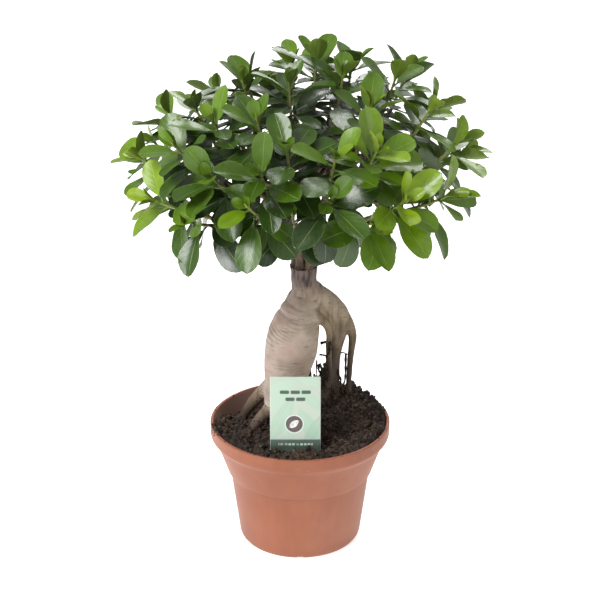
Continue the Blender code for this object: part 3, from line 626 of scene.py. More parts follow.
def keep_out_leaf(leaf, stalk):
    """The space that a leaf keeps to itself, as a closed bar. Without its stalk it is the blade only."""
    shares, widths = BLADE_SHARES, BLADE_WIDTHS
    if not stalk:
        shares, widths = (0.27,) + shares[2:], (0.5,) + widths[2:]
    corners = []
    for middle, across, normal, half in blade_line(leaf, shares, widths):
        half += LEAF_GAP
        up = normal * (LEAF_THICKNESS / 2 + LEAF_GAP)
        corners += [middle - across * half + up, middle + across * half + up,
                    middle + across * half - up, middle - across * half - up]
    corners = np.array(corners)
    return corners, BVHTree.FromPolygons(corners.tolist(), bar_faces(len(shares), 4))


def keep_out_tube(points, radii):
    """The space of a twig or a branch, as a closed square bar round it."""
    corners = []
    for k, (place, radius) in enumerate(zip(points, radii)):
        axis = unit(points[min(k + 1, len(points) - 1)] - points[max(k - 1, 0)])
        side, over = sides_of(axis)
        reach = (radius + LEAF_GAP / 2) * 1.25
        corners += [place + (side * a + over * b) * reach for a, b in ((1, 1), (-1, 1), (-1, -1), (1, -1))]
    corners = np.array(corners)
    return corners, BVHTree.FromPolygons(corners.tolist(), bar_faces(len(points), 4))


def meets(one, other):
    """Whether two keep-out spaces touch, by their boxes first."""
    (a, a_tree), (b, b_tree) = one, other
    if (a.min(0) > b.max(0)).any() or (b.min(0) > a.max(0)).any():
        return False
    return bool(a_tree.overlap(b_tree))


# What is tried in turn to clear a leaf: degrees round its twig, degrees of tilt, and a size.
TRIES = [(0, 0, 1), (14, 0, 1), (-14, 0, 1), (0, 14, 1), (0, -14, 1), (28, 0, 1), (-28, 0, 1),
         (14, 22, 0.95), (-14, -22, 0.95), (0, 30, 0.9), (0, -30, 0.9), (40, 10, 0.85),
         (-40, -10, 0.85), (55, 0, 0.8), (-55, 0, 0.8), (20, -20, 0.65), (-20, 20, 0.65), (0, 0, 0.5)]

# What is tried in turn to clear a limb: steps along its graft's stem, and a lift of its start.
LIMB_TRIES = [(shift, lift) for lift in (0, 0.3, -0.3, 0.6, -0.6, 1.0, -1.0, 1.5, -1.5)
              for shift in (0, 1.3, -1.3, -2.6, -3.9)]


def set_leaves(grafts, shoots):
    """Gives each shoot its leaves, one round of the whole crown after another, oldest leaves first."""
    wood = [keep_out_tube(*graft["stem"]) for graft in grafts]
    wood += [keep_out_tube(*limb) for graft in grafts for limb in graft["limbs"]]
    twigs = {shoot["name"]: keep_out_tube(*shoot["twig"]) for shoot in shoots}
    taken = []
    for index in range(max(shoot["count"] for shoot in shoots)):
        for shoot in shoots:
            if index >= shoot["count"]:
                continue
            others = wood + [t for name, t in twigs.items() if name != shoot["name"]]
            for turn, tilt, size in TRIES:
                leaf = leaf_frame(shoot, index, math.radians(turn), math.radians(tilt), size)
                whole, blade = keep_out_leaf(leaf, True), keep_out_leaf(leaf, False)
                if any(meets(whole, other) for other in others) or meets(blade, twigs[shoot["name"]]):
                    continue
                if any(meets(blade, other[2]) if other[0] == shoot["name"] else meets(whole, other[1])
                       for other in taken):
                    continue
                taken.append((shoot["name"], whole, blade))
                shoot["leaves"].append(leaf)
                break


PLAN = crown_plan(SAWN_TOP)


# --- pot ---
def pot_outline():
    """(radius, height) from the middle of the underside, out, up, over the rim and down to the floor."""
    lip = POT_HEIGHT - LIP_HEIGHT
    ring = BASE_RADIUS - EDGE_ROUND - FOOT_RING_WIDTH
    underside = [(0, 0), (HUB_RADIUS, 0), (HUB_RADIUS + FOOT_RELIEF / 2, FOOT_RELIEF),
                 (ring - FOOT_RELIEF / 2, FOOT_RELIEF), (ring, 0)]
    outside = [(BASE_RADIUS - EDGE_ROUND / 2, 0), (BASE_RADIUS, EDGE_ROUND),
               (BODY_TOP_RADIUS, STEP_HEIGHT), (BODY_TOP_RADIUS + STEP_WIDTH, STEP_HEIGHT + STEP_WIDTH / 2),
               (COLLAR_TOP_RADIUS, lip - LIP_FLARE), (RIM_RADIUS, lip - 0.0002),
               (RIM_RADIUS, POT_HEIGHT)]
    return underside + outside + pot_inner()[::-1] + [(0, FLOOR_TOP)]


def pot_inner():
    """(radius, height) up the inside of the pot, from its floor to its rim."""
    return [
        (BASE_RADIUS - WALL - EDGE_ROUND / 2, FLOOR_TOP),
        (BASE_RADIUS - WALL, FLOOR_TOP + EDGE_ROUND),
        (BODY_TOP_RADIUS - WALL, STEP_HEIGHT),
        (BODY_TOP_RADIUS + STEP_WIDTH - WALL, STEP_HEIGHT + STEP_WIDTH),
        (COLLAR_TOP_RADIUS - WALL, POT_HEIGHT - LIP_HEIGHT - LIP_FLARE),
        (RIM_RADIUS - LIP_THICKNESS, POT_HEIGHT - 0.001),
        (RIM_RADIUS - LIP_THICKNESS + 0.0004, POT_HEIGHT),
    ]


def inner_radius(height):
    """The radius of the pot's inside at a height."""
    radii, heights = zip(*pot_inner())
    return np.interp(height, heights, radii)


def drain_cutters():
    """Round pins for the drain holes, and bars for the water ways under the foot ring."""
    parts = []
    ring = BASE_RADIUS - EDGE_ROUND - FOOT_RING_WIDTH
    for k in range(DRAIN_COUNT):
        turn = math.tau * (k + 0.5) / DRAIN_COUNT
        way = np.array([math.cos(turn), math.sin(turn), 0])
        foot = way * DRAIN_CIRCLE
        pin = np.linspace(foot - [0, 0, 0.01], foot + [0, 0, 0.01], 4)
        parts.append(tube(pin, [DRAIN_RADIUS] * 4, 32))
        across = np.array([-way[1], way[0], 0]) * NOTCH_WIDTH / 2
        deep = np.array([0, 0, FOOT_RELIEF * 0.8])
        corners = np.array([-across - deep, across - deep, across + deep, -across + deep])
        spots = way * np.linspace(ring - 0.002, BASE_RADIUS + 0.002, 4)[:, None]
        parts.append(swept((spots[:, None] + corners)[None], spots[None, [0, -1]]))
    return merged(parts)


def moulded_polypropylene(look):
    """Injection-moulded polypropylene in terracotta: satin, with a soft skin, faint flow marks, a paler
    bloom in broad patches and dried splashes of compost water."""
    made, tree, shader = new_material("moulded_polypropylene", Roughness=0.46, IOR=1.49,
                                      Specular_IOR_Level=0.38)
    where = add(tree, "TexCoord").outputs["Object"]
    broad = add(tree, "TexNoise", {"Vector": where, "Scale": per(70), "Detail": 4.0}).outputs["Fac"]
    flow = add(tree, "Mapping", {"Vector": where, "Scale": (per(5.5), per(5.5), per(28))}).outputs["Vector"]
    streaks = add(tree, "TexNoise", {"Vector": flow, "Scale": 1.0, "Detail": 3.0}).outputs["Fac"]
    stops = [(0.30, look.shade_code), (0.52, look.body_code), (0.75, look.bloom_code)]
    base = add(tree, "ValToRGB", {"Fac": broad}, stops=stops).outputs["Color"]
    marks = add(tree, "ValToRGB", {"Fac": streaks}, stops=[(0.35, 0.90), (0.65, 1.0)]).outputs["Color"]
    base = add(tree, "Mix", {0: 0.8, 6: base, 7: marks}, blend_type="MULTIPLY").outputs[2]
    height = add(tree, "SeparateXYZ", {"Vector": where}).outputs["Z"]
    near_rim = add(tree, "MapRange", {"Value": height, "From Min": POT_HEIGHT - 0.014,
                                      "From Max": POT_HEIGHT}).outputs["Result"]
    specks = add(tree, "TexNoise", {"Vector": where, "Scale": per(4.8), "Detail": 5.0,
                                    "Roughness": 0.7}).outputs["Fac"]
    specks = add(tree, "ValToRGB", {"Fac": specks}, stops=[(0.60, 0.0), (0.70, 1.0)]).outputs["Color"]
    dirty = add(tree, "Math", {0: near_rim, 1: specks}, operation="MULTIPLY").outputs[0]
    inside = add(tree, "Attribute", attribute_name="inside").outputs["Fac"]
    inside = add(tree, "Math", {0: inside, 1: 0.78}, operation="MULTIPLY").outputs[0]
    dirty = add(tree, "Math", {0: dirty, 1: 0.7}, operation="MULTIPLY").outputs[0]
    dirty = add(tree, "Math", {0: dirty, 1: inside}, operation="MAXIMUM").outputs[0]
    base = add(tree, "Mix", {0: dirty, 6: base, 7: "#A0867C"}).outputs[2]
    low = add(tree, "MapRange", {"Value": height, "From Min": 0.012, "From Max": 0.0}).outputs["Result"]
    low = add(tree, "Math", {0: low, 1: 0.35}, operation="MULTIPLY").outputs[0]
    base = add(tree, "Mix", {0: low, 6: base, 7: "#86543F"}).outputs[2]
    tree.links.new(base, shader.inputs["Base Color"])
    skin = add(tree, "TexNoise", {"Vector": where, "Scale": per(1.1), "Detail": 2.0}).outputs["Fac"]
    gloss = add(tree, "MapRange", {"Value": streaks, "To Min": 0.38, "To Max": 0.56}).outputs["Result"]
    tree.links.new(gloss, shader.inputs["Roughness"])
    bump = add(tree, "Bump", {"Height": skin, "Strength": 0.10, "Distance": 0.0004})
    bump = add(tree, "Bump", {"Height": streaks, "Strength": 0.12, "Distance": 0.0008,
                              "Normal": bump.outputs["Normal"]})
    tree.links.new(bump.outputs["Normal"], shader.inputs["Normal"])
    return made


class BONSAI_OT_pot(bpy.types.Operator):
    """Adds the moulded pot with its rolled lip, collar, foot ring, water ways and drain holes"""
    bl_idname = "bonsai.pot"
    bl_label = "Pot"

    def execute(self, context):
        look = context.scene.bonsai_pot
        outline = spaced(rounded(pot_outline(), look.edge_round), look.profile_step)
        points, quads, tris = lathe(outline, 200, look.out_of_round)
        dents = 1 + 0.0016 * noise(points * 22, 3)
        points[:, :2] *= dents[:, None]
        shell = loose_object("pot_shell", surface("pot_shell", points, quads, tris))
        cutters = loose_object("drain_pins", surface("drain_pins", *drain_cutters(), smooth=False))
        cut = {"object": cutters, "operation": "DIFFERENCE", "solver": "EXACT"}
        mesh = finished_mesh(shell, ("BOOLEAN", cut))
        bpy.data.objects.remove(cutters)
        mesh.materials.clear()
        mesh.set_sharp_from_angle(angle=math.radians(45))
        spots = points_of(mesh)
        height = spots[:, 2]
        within = np.hypot(spots[:, 0], spots[:, 1]) < inner_radius(height) + WALL / 2
        within = within & (height > FLOOR_TOP / 2) & (height < POT_HEIGHT - 0.0006)
        point_value(mesh, "inside", within)
        piece("nursery_pot", mesh, [moulded_polypropylene(look)], "pot")
        return {"FINISHED"}


# --- compost ---
# How many coarse clods lie at the back right, how many crumbs lie on the rim, how many of those are
# in the clump that hangs over its left, and how many cling to the roots' feet.
CLOD_COUNT = 46
SPILT_COUNT = 110
CLUMP_COUNT = 70
CLINGING_COUNT = 900


def compost_height(x, y):
    """The compost's surface: level with the rim, heaped round the roots, sunken at the back left."""
    across, along = x - 0.40 * RIM_RADIUS, y - 0.35 * RIM_RADIUS
    mound = MOUND_HEIGHT * np.exp(-(across**2 + along**2) / (2 * MOUND_SPREAD**2))
    across, along = x + 0.62 * RIM_RADIUS, y - 0.50 * RIM_RADIUS
    hollow = HOLLOW_DEPTH * np.exp(-(across**2 + along**2) / (2 * HOLLOW_SPREAD**2))
    lumps = 0.0012 * np.sin(x * 170 + 1) * np.sin(y * 150 + 2)
    return COMPOST_LEVEL + mound - hollow + lumps


def crumbly_height(x, y):
    """The compost's surface with clods 4 to 12 mm wide and crumbs 1 to 3 mm wide on it."""
    flat = np.stack([x, y, np.zeros_like(x)], -1)
    clods = 1 - 2 * np.abs(layered_noise(flat * 110, 2, 11))
    crumbs = layered_noise(flat * 420, 3, 12)
    return compost_height(x, y) + 0.0022 * clods + 0.0012 * crumbs


def compost_body():
    """The bed as rings carried from the middle of its top, out over the crumbly surface to the pot's
    wall, down the wall and back to the middle of its underside."""
    sectors = 300
    turn = -np.linspace(0, math.tau, sectors, endpoint=False)
    c, s = np.cos(turn), np.sin(turn)
    rim = inner_radius(POT_HEIGHT - 0.006) - CLEARANCE
    rings = []
    for share in np.linspace(0.01, 1, 150) ** 0.8:
        rings.append(np.stack([share * rim * c, share * rim * s,
                               crumbly_height(share * rim * c, share * rim * s)], -1))
    edge = np.minimum(rings[-1][:, 2], POT_HEIGHT - 0.0012)
    reach = inner_radius(edge) - 2 * CLEARANCE
    rings[-1] = np.stack([reach * c, reach * s, edge], -1)
    for share in np.linspace(0.05, 1, 30):
        height = edge + (FLOOR_TOP + CLEARANCE - edge) * share
        reach = inner_radius(height) - 2 * CLEARANCE
        rings.append(np.stack([reach * c, reach * s, height], -1))
    rings.append(rings[-1] * [0.8, 0.8, 1])
    for share in (0.5, 0.2):
        reach = share * BASE_RADIUS
        rings.append(np.stack([reach * c, reach * s, np.full(sectors, FLOOR_TOP + CLEARANCE)], -1))
    top = float(crumbly_height(np.zeros(1), np.zeros(1))[0])
    ends = np.array([[0, 0, top], [0, 0, FLOOR_TOP + CLEARANCE]])
    return swept(np.array(rings)[None], ends[None])


def turned_at_random(count, chance):
    """Random turns, as (count, 3, 3) matrices from random unit quaternions."""
    w, x, y, z = units(chance.normal(size=(count, 4))).T
    return np.stack([
        1 - 2 * (y * y + z * z), 2 * (x * y - w * z), 2 * (x * z + w * y),
        2 * (x * y + w * z), 1 - 2 * (x * x + z * z), 2 * (y * z - w * x),
        2 * (x * z - w * y), 2 * (y * z + w * x), 1 - 2 * (x * x + y * y)], -1).reshape(count, 3, 3)


def lumps_at(places, sizes, flatness, chance):
    """Angular crumbs: rough spheres of three rings of five points, each point in or out by up to a
    third, flattened and turned at random."""
    count = len(places)
    lean = np.radians([40, 90, 140])
    turn = np.linspace(0, math.tau, 5, endpoint=False)
    ball = np.stack([np.sin(lean)[:, None] * np.cos(turn), np.sin(lean)[:, None] * np.sin(turn),
                     np.broadcast_to(-np.cos(lean)[:, None], (3, 5))], -1)
    rings = ball[None] * chance.uniform(0.65, 1.25, (count, 3, 5, 1))
    ends = np.array([[0, 0, -1.0], [0, 0, 1.0]])[None] * chance.uniform(0.6, 1.1, (count, 2, 1))
    stretch = np.stack([np.ones(count), chance.uniform(0.4, 1, count), flatness], -1) * sizes[:, None]
    turns = turned_at_random(count, chance)
    rings = np.einsum("cij,cabj->cabi", turns, rings * stretch[:, None, None]) + places[:, None, None]
    ends = np.einsum("cij,caj->cai", turns, ends * stretch[:, None]) + places[:, None]
    return swept(rings, ends)


def lumps_piece(name, places, sizes, flatness, finish, chance):
    """A piece of loose lumps at places, with sizes, each flattened to a random share in a range."""
    flat = chance.uniform(*flatness, len(places))
    mesh = surface(name, *lumps_at(places, sizes, flat, chance), smooth=False)
    piece(name, mesh, [finish])


def fibres_at(places, lengths, chance):
    """Peat and root fibres: thin four-sided threads carried along short curved paths."""
    parts = []
    for place, length in zip(places, lengths):
        bearing, bend = chance.uniform(0, math.tau), chance.uniform(-2.2, 2.2)
        t = np.linspace(-0.5, 0.5, 7)
        heading = bearing + bend * t
        x = np.cumsum(np.cos(heading)) * length / 7
        y = np.cumsum(np.sin(heading)) * length / 7
        lift = length * chance.uniform(-0.10, 0.42) * (t + 0.5) ** 2
        path = place + np.stack([x - x.mean(), y - y.mean(), lift + 0.0005], -1)
        parts.append(tube(path, np.linspace(1, 0.5, 7) * chance.uniform(0.00012, 0.00030), 4))
    return merged(parts)


def scattered(count, chance, reach=1.0):
    """Random places on the compost's surface, evenly spread over the disc inside the pot."""
    radius = (inner_radius(POT_HEIGHT - 0.006) - 0.0012) * reach * np.sqrt(chance.uniform(0, 1, count))
    turn = chance.uniform(0, math.tau, count)
    x, y = radius * np.cos(turn), radius * np.sin(turn)
    return np.stack([x, y, crumbly_height(x, y)], -1)


def damp_compost(name, dark, mid, light, bump=1.0):
    """Peat and composted bark, kept damp: nearly black in its pits, brown on its crumbs, quite matt."""
    made, tree, shader = new_material(name, Roughness=0.9, IOR=1.4)
    where = add(tree, "TexCoord").outputs["Object"]
    grain = add(tree, "TexNoise", {"Vector": where, "Scale": per(3.1), "Detail": 6.0,
                                   "Roughness": 0.65}).outputs["Fac"]
    broad = add(tree, "TexNoise", {"Vector": where, "Scale": per(22), "Detail": 3.0}).outputs["Fac"]
    base = add(tree, "ValToRGB", {"Fac": grain},
               stops=[(0.36, dark), (0.52, mid), (0.70, light)]).outputs["Color"]
    damp = add(tree, "ValToRGB", {"Fac": broad}, stops=[(0.35, 0.55), (0.65, 1.05)]).outputs["Color"]
    base = add(tree, "Mix", {0: 1.0, 6: base, 7: damp}, blend_type="MULTIPLY").outputs[2]
    tree.links.new(base, shader.inputs["Base Color"])
    rough = add(tree, "TexNoise", {"Vector": where, "Scale": per(0.8), "Detail": 4.0}).outputs["Fac"]
    relief = add(tree, "Bump", {"Height": rough, "Strength": 0.7 * bump, "Distance": 0.0006})
    relief = add(tree, "Bump", {"Height": grain, "Strength": 0.6 * bump, "Distance": 0.0012,
                                "Normal": relief.outputs["Normal"]})
    tree.links.new(relief.outputs["Normal"], shader.inputs["Normal"])
    return made


class BONSAI_OT_compost(bpy.types.Operator):
    """Adds the compost: its crumbly bed, loose crumbs, bark chips and fibres, and crumbs on the rim"""
    bl_idname = "bonsai.compost"
    bl_label = "Compost"

    def execute(self, context):
        look = context.scene.bonsai_compost
        chance = np.random.default_rng(look.seed)
        bed = damp_compost("damp_peat_bed", look.pit_code, look.peat_code, look.crumb_code)
        crumb = damp_compost("peat_crumbs", look.pit_code, look.peat_code, look.fibre_code)
        bark = damp_compost("composted_bark", "#2E2019", "#523A2B", "#7A5B43", 0.6)
        thread = damp_compost("peat_fibre", "#4A3828", "#7A6148", "#A08868", 0.3)
        piece("compost_bed", surface("compost_bed", *compost_body()), [bed], "compost")
        count = look.crumb_count
        sizes = np.clip(np.exp(chance.normal(-7.0, 0.62, count)), 0.0004, 0.0038)
        places = scattered(count, chance)
        places[:, 2] += sizes * chance.uniform(-0.2, 0.5, count)
        lumps_piece("compost_crumbs", places, sizes, (0.5, 0.95), crumb, chance)
        count = look.chip_count
        sizes = chance.uniform(0.0013, 0.0033, count)
        places = scattered(count, chance)
        places[:, 2] += sizes * 0.3
        lumps_piece("bark_chips", places, sizes, (0.22, 0.45), bark, chance)
        count = CLOD_COUNT
        turn = np.radians(chance.uniform(-22, 62, count))
        radius = RIM_RADIUS * chance.uniform(0.70, 0.95, count)
        x, y = radius * np.cos(turn), radius * np.sin(turn)
        sizes = chance.uniform(0.0016, 0.0042, count)
        places = np.stack([x, y, crumbly_height(x, y) + sizes * 0.35], -1)
        lumps_piece("coarse_clods", places, sizes, (0.55, 0.9), bed, chance)
        lengths = chance.uniform(0.004, 0.013, look.fibre_count)
        fibres = fibres_at(scattered(look.fibre_count, chance, 0.94), lengths, chance)
        piece("peat_fibres", surface("peat_fibres", *fibres), [thread])
        self.spill(chance, crumb)
        return {"FINISHED"}

    def spill(self, chance, finish):
        """A few crumbs lie on the rim, most of them at the front, and a damp clump hangs over its left."""
        count, clump = SPILT_COUNT, CLUMP_COUNT
        turn = math.radians(-115) + chance.normal(0, 0.95, count)
        turn[:clump] = math.radians(-165) + chance.normal(0, 0.10, clump)
        radius = RIM_RADIUS - chance.uniform(0.0, LIP_THICKNESS, count)
        sizes = chance.uniform(0.0002, 0.0008, count)
        sizes[:clump] *= 1.7
        drop = np.zeros(count)
        drop[:clump] = chance.uniform(0, 0.004, clump) * (RIM_RADIUS - radius[:clump] < 0.0007)
        height = POT_HEIGHT + sizes * 0.4 - drop
        places = np.stack([radius * np.cos(turn), radius * np.sin(turn), height], -1)
        lumps_piece("rim_crumbs", places, sizes, (0.5, 0.9), finish, chance)


# --- rootstock ---
def root_path(root, spacing=5.0):
    """A root's centreline and radii in metres, smoothed, about one point every spacing millimetres."""
    rows = np.array(root, float)
    length = np.linalg.norm(np.diff(rows[:, :3], axis=0), axis=1).sum()
    rows = smooth_path(rows, max(6, int(length / spacing)))
    rise = TRUNK_HEIGHT / DRAWN_TRUNK_HEIGHT
    places = rows[:, :3] * [MM, MM, rise] + [TRUNK_X, TRUNK_Y, COMPOST_LEVEL]
    return places, np.maximum(rows[:, 3], 1.2) * MM


def root_girth(points, roots):
    """The radius of each point's nearest root, in metres."""
    places = np.concatenate([path for path, _ in roots])
    radii = np.concatenate([radius for _, radius in roots])
    found = np.empty(len(points), int)
    at_once = 8000
    for start in range(0, len(points), at_once):
        block = points[start:start + at_once, None] - places
        found[start:start + at_once] = np.argmin(np.linalg.norm(block, axis=2) - radii, axis=1)
    return radii[found]


def evened(mesh, values, rounds):
    """Values of a mesh's points, each averaged with its neighbours' mean, again and again."""
    ends = np.empty(2 * len(mesh.edges), np.int32)
    mesh.edges.foreach_get("vertices", ends)
    a, b = ends.reshape(-1, 2).T
    near = np.bincount(a, minlength=len(values)) + np.bincount(b, minlength=len(values))
    for _ in range(rounds):
        total = np.bincount(a, values[b], len(values)) + np.bincount(b, values[a], len(values))
        values = (values + total / near) / 2
    return values


def barked(mesh, roots, look):
    """Moves the bark's points out or in along their normals, and marks the creases.

    Lumps as wide as the root, drawn-out flutes along it, and ring creases round its left: a crease is the
    bell curve of the distance to the nearest multiple of the ring spacing, bent by slow noise and
    faded in and out by more. The neck has upright fissures instead of rings.
    """
    points, normals = points_of(mesh), normals_of(mesh)
    girth = evened(mesh, root_girth(points, roots), 60)
    thick = np.clip(girth / 0.016, 0.12, 1.2)
    lumps = 0.0008 * noise(points * 48, 21) + 0.0005 * noise(points * 120, 22)
    flutes = 0.0012 * noise(points * [110, 110, 15], 23)
    phase = (points[:, 2] + 0.16 * points[:, 0]) / look.ring_spacing
    phase = phase + 1.3 * noise(points * 38, 24) + 0.30 * noise(points * 150, 25)
    rings = np.exp(-(((phase % 1) - 0.5) / 0.17) ** 2)
    to_left = np.clip(0.75 - (points[:, 0] - TRUNK_X + 0.010) / 0.026, 0.25, 1)
    rings *= np.clip(0.50 + 1.6 * noise(points * [65, 65, 120], 26), 0, 1) * to_left
    rings = evened(mesh, rings, 1)
    neck = np.clip((points[:, 2] - (SAWN_TOP - 0.026)) / 0.010, 0, 1)
    fissures = np.abs(noise(points * [330, 330, 55], 27)) + 0.5 * np.abs(noise(points * [700, 700, 90], 28))
    fissures = np.clip(1 - 2.6 * fissures, 0, 1)
    move = thick * (lumps + flutes) - 0.00055 * np.clip(thick, 0.3, 1) * rings * (1 - neck)
    move = evened(mesh, move, 1) + neck * (0.0006 * noise(points * 160, 29) - 0.0007 * fissures)
    points += normals * move[:, None]
    points[:, 2] = np.minimum(points[:, 2], SAWN_TOP - 0.0002 + 0.0002 * noise(points * 300, 30))
    set_points(mesh, points)
    point_value(mesh, "crease", np.clip(rings * (1 - neck) + neck * fissures, 0, 1))
    point_value(mesh, "girth", np.clip(girth / 0.017, 0, 1))


def ficus_bark(look, name="ficus_bark"):
    """Young ficus bark: a thin grey skin over pale storage root, with fine rings and pale pores, pinkish
    where it swells, browner on thin roots, and old brown bark left on the neck. Its right-hand side is
    greener and darker, partly its own olive skin and partly painted shade on the side away from the key
    light; its ring creases and neck fissures are darker, partly their own dark lines and partly painted shade
    in them; and the thin legs on the right go dark brown low down, which is painted shade."""
    made, tree, shader = new_material(name, Roughness=0.68, IOR=1.45)
    where = add(tree, "TexCoord").outputs["Object"]
    height = add(tree, "SeparateXYZ", {"Vector": where}).outputs["Z"]
    girth = add(tree, "Attribute", attribute_name="girth").outputs["Fac"]
    crease = add(tree, "Attribute", attribute_name="crease").outputs["Fac"]
    base = add(tree, "ValToRGB", {"Fac": girth},
               stops=[(0.12, look.thin_code), (0.36, look.leg_code), (0.52, look.skin_code)]).outputs["Color"]
    broad = add(tree, "TexNoise", {"Vector": where, "Scale": per(18), "Detail": 5.0,
                                   "Roughness": 0.6}).outputs["Fac"]
    tint = add(tree, "ValToRGB", {"Fac": broad},
               stops=[(0.30, "#9E9484"), (0.5, "#DFD9D2"), (0.72, "#FFFFFF")]).outputs["Color"]
    base = add(tree, "Mix", {0: 0.75, 6: base, 7: tint}, blend_type="MULTIPLY").outputs[2]
    rosy = add(tree, "TexNoise", {"Vector": where, "Scale": per(24), "Detail": 3.0}).outputs["Fac"]
    rosy = add(tree, "MapRange", {"Value": rosy, "From Min": 0.46, "From Max": 0.66,
                                  "To Max": 0.55}).outputs["Result"]
    base = add(tree, "Mix", {0: rosy, 6: base, 7: "#A88A80"}).outputs[2]
    # Painted shade, in part: the right-hand side is mixed towards olive and darker, partly the skin's own
    # greener tone and partly the shade on the side away from the key light.
    olive_and_shade = add(tree, "SeparateXYZ", {"Vector": where}).outputs["X"]
    olive_and_shade = add(tree, "MapRange", {"Value": olive_and_shade, "From Min": -0.012, "From Max": 0.020,
                                   "To Max": 0.48}).outputs["Result"]
    base = add(tree, "Mix", {0: olive_and_shade, 6: base, 7: "#8E7D5D"}).outputs[2]
    grain = add(tree, "Mapping", {"Vector": where, "Scale": (per(3), per(3), per(22))}).outputs["Vector"]
    grain = add(tree, "TexNoise", {"Vector": grain, "Scale": 1.0, "Detail": 3.0}).outputs["Fac"]
    grain = add(tree, "ValToRGB", {"Fac": grain}, stops=[(0.34, 0.62), (0.56, 1.08)]).outputs["Color"]
    legs = add(tree, "MapRange", {"Value": girth, "From Min": 0.72, "From Max": 0.42}).outputs["Result"]
    base = add(tree, "Mix", {0: legs, 6: base, 7: grain}, blend_type="MULTIPLY").outputs[2]
    flat = add(tree, "Mapping", {"Vector": where, "Scale": (per(8.3), per(8.3), per(1.4))}).outputs["Vector"]
    pores = add(tree, "TexNoise", {"Vector": flat, "Scale": 1.0, "Detail": 3.0,
                                   "Roughness": 0.55}).outputs["Fac"]
    lines = add(tree, "ValToRGB", {"Fac": pores},
                stops=[(0.31, 0.42), (0.37, 0.85), (0.44, 1.0), (0.66, 1.0),
                       (0.74, 1.12)]).outputs["Color"]
    base = add(tree, "Mix", {0: 0.8, 6: base, 7: lines}, blend_type="MULTIPLY").outputs[2]
    # Painted shade, in part: the crease colour darkens the ring creases and neck fissures, partly their own
    # darker lines and partly the shade that falls in them.
    deep = add(tree, "Math", {0: crease, 1: 0.70}, operation="MULTIPLY").outputs[0]
    base = add(tree, "Mix", {0: deep, 6: base, 7: look.crease_and_shade_code}).outputs[2]
    ragged = add(tree, "Math", {0: broad, 1: 0.022, 2: height}, operation="MULTIPLY_ADD").outputs[0]
    neck = add(tree, "MapRange", {"Value": ragged, "From Min": SAWN_TOP - 0.010,
                                  "From Max": SAWN_TOP - 0.002}).outputs["Result"]
    fissured = add(tree, "Mapping", {"Vector": where, "Scale": (per(2.4), per(2.4), per(11))})
    old = add(tree, "TexNoise", {"Vector": fissured.outputs["Vector"], "Scale": 1.0,
                                 "Detail": 4.0}).outputs["Fac"]
    old = add(tree, "ValToRGB", {"Fac": old},
              stops=[(0.35, "#3B2E28"), (0.52, look.neck_code), (0.70, "#74635A")]).outputs["Color"]
    base = add(tree, "Mix", {0: neck, 6: base, 7: old}).outputs[2]
    # Painted shade: the thin legs on the right turn dark brown from 85 mm above the compost downwards,
    # standing for the shadow they are in.
    thin = add(tree, "MapRange", {"Value": girth, "From Min": 0.80, "From Max": 0.50}).outputs["Result"]
    low = add(tree, "MapRange", {"Value": height, "From Min": COMPOST_LEVEL + 0.085,
                                 "From Max": COMPOST_LEVEL + 0.040, "To Max": 0.88}).outputs["Result"]
    low = add(tree, "Math", {0: low, 1: thin}, operation="MULTIPLY").outputs[0]
    shaded = add(tree, "MapRange", {"Value": olive_and_shade, "From Min": 0.05, "From Max": 0.45}).outputs["Result"]
    low = add(tree, "Math", {0: low, 1: shaded}, operation="MULTIPLY").outputs[0]
    base = add(tree, "Mix", {0: low, 6: base, 7: "#35281F"}).outputs[2]
    soiled = add(tree, "Math", {0: broad, 1: -0.022, 2: height}, operation="MULTIPLY_ADD").outputs[0]
    soiled = add(tree, "MapRange", {"Value": soiled, "From Min": COMPOST_LEVEL + 0.008,
                                    "From Max": COMPOST_LEVEL - 0.006, "To Max": 0.85}).outputs["Result"]
    base = add(tree, "Mix", {0: soiled, 6: base, 7: "#42342A"}).outputs[2]
    tree.links.new(base, shader.inputs["Base Color"])
    fine = add(tree, "TexNoise", {"Vector": where, "Scale": per(0.9), "Detail": 4.0}).outputs["Fac"]
    bump = add(tree, "Bump", {"Height": fine, "Strength": 0.35, "Distance": 0.0003})
    bump = add(tree, "Bump", {"Height": pores, "Strength": 0.5, "Distance": 0.0005,
                              "Normal": bump.outputs["Normal"]})
    tree.links.new(bump.outputs["Normal"], shader.inputs["Normal"])
    return made


def hair_roots(chance):
    """Thin dark aerial roots between the legs, as tubes along noisy paths. Each row is the place where
    one starts, then how far it goes to the right and down, all in millimetres from the trunk's foot."""
    rows = [(13, -1, 66, 6, -3), (12, 0, 56, 8, 1), (11, 2, 46, 4, 16), (10, 2, 50, -1, 18),
            (9, 2, 36, 9, 3), (8, 3, 38, 3, 22), (20, -4, 72, -2, 20), (12, 2, 47, 5, 9), (13, 4, 40, -4, 26),
            (13, 2, 45, 5, 13), (12, 2, 41, 8, 5), (14, 3, 35, 5, 13), (16, 3, 47, 2, 15), (11, 2, 30, 9, 4),
            (26, 14, 52, 9, 1), (24, 15, 56, 2, 34), (33, 15, 50, -1, 36), (26, 15, 36, 6, 24),
            (-6, 16, 60, 2, 44), (-14, 26, 50, 8, 38), (2, 24, 50, -3, 40), (20, 10, 36, 2, 28),
            (-40, 2, 6, 9, 3), (-28, -24, 1, -16, 2), (-30, -20, 3, -12, 4)]
    parts, steps = [], 16
    for k, (x, y, z, right, drop) in enumerate(rows):
        t = np.linspace(0, 1, steps)
        path = np.stack([x + right * t, y + 2 * t * chance.normal(), z - drop * t], -1)
        spots = np.stack([t * 3.5, np.full(steps, k + 0.37), np.zeros(steps)], -1)
        wander = np.stack([noise(spots, 40 + axis) for axis in range(3)], -1)
        size = 0.10 * math.hypot(right, drop) + 0.6
        path = (path + size * wander * np.sin(t * math.pi / 2)[:, None]) * MM
        radius = chance.uniform(0.6, 1.25) * MM
        parts.append(tube(path + [TRUNK_X, TRUNK_Y, COMPOST_LEVEL],
                          radius * (1.15 - 0.6 * t + 0.22 * np.sin(t * 31 + k)), 8))
    return merged(parts)


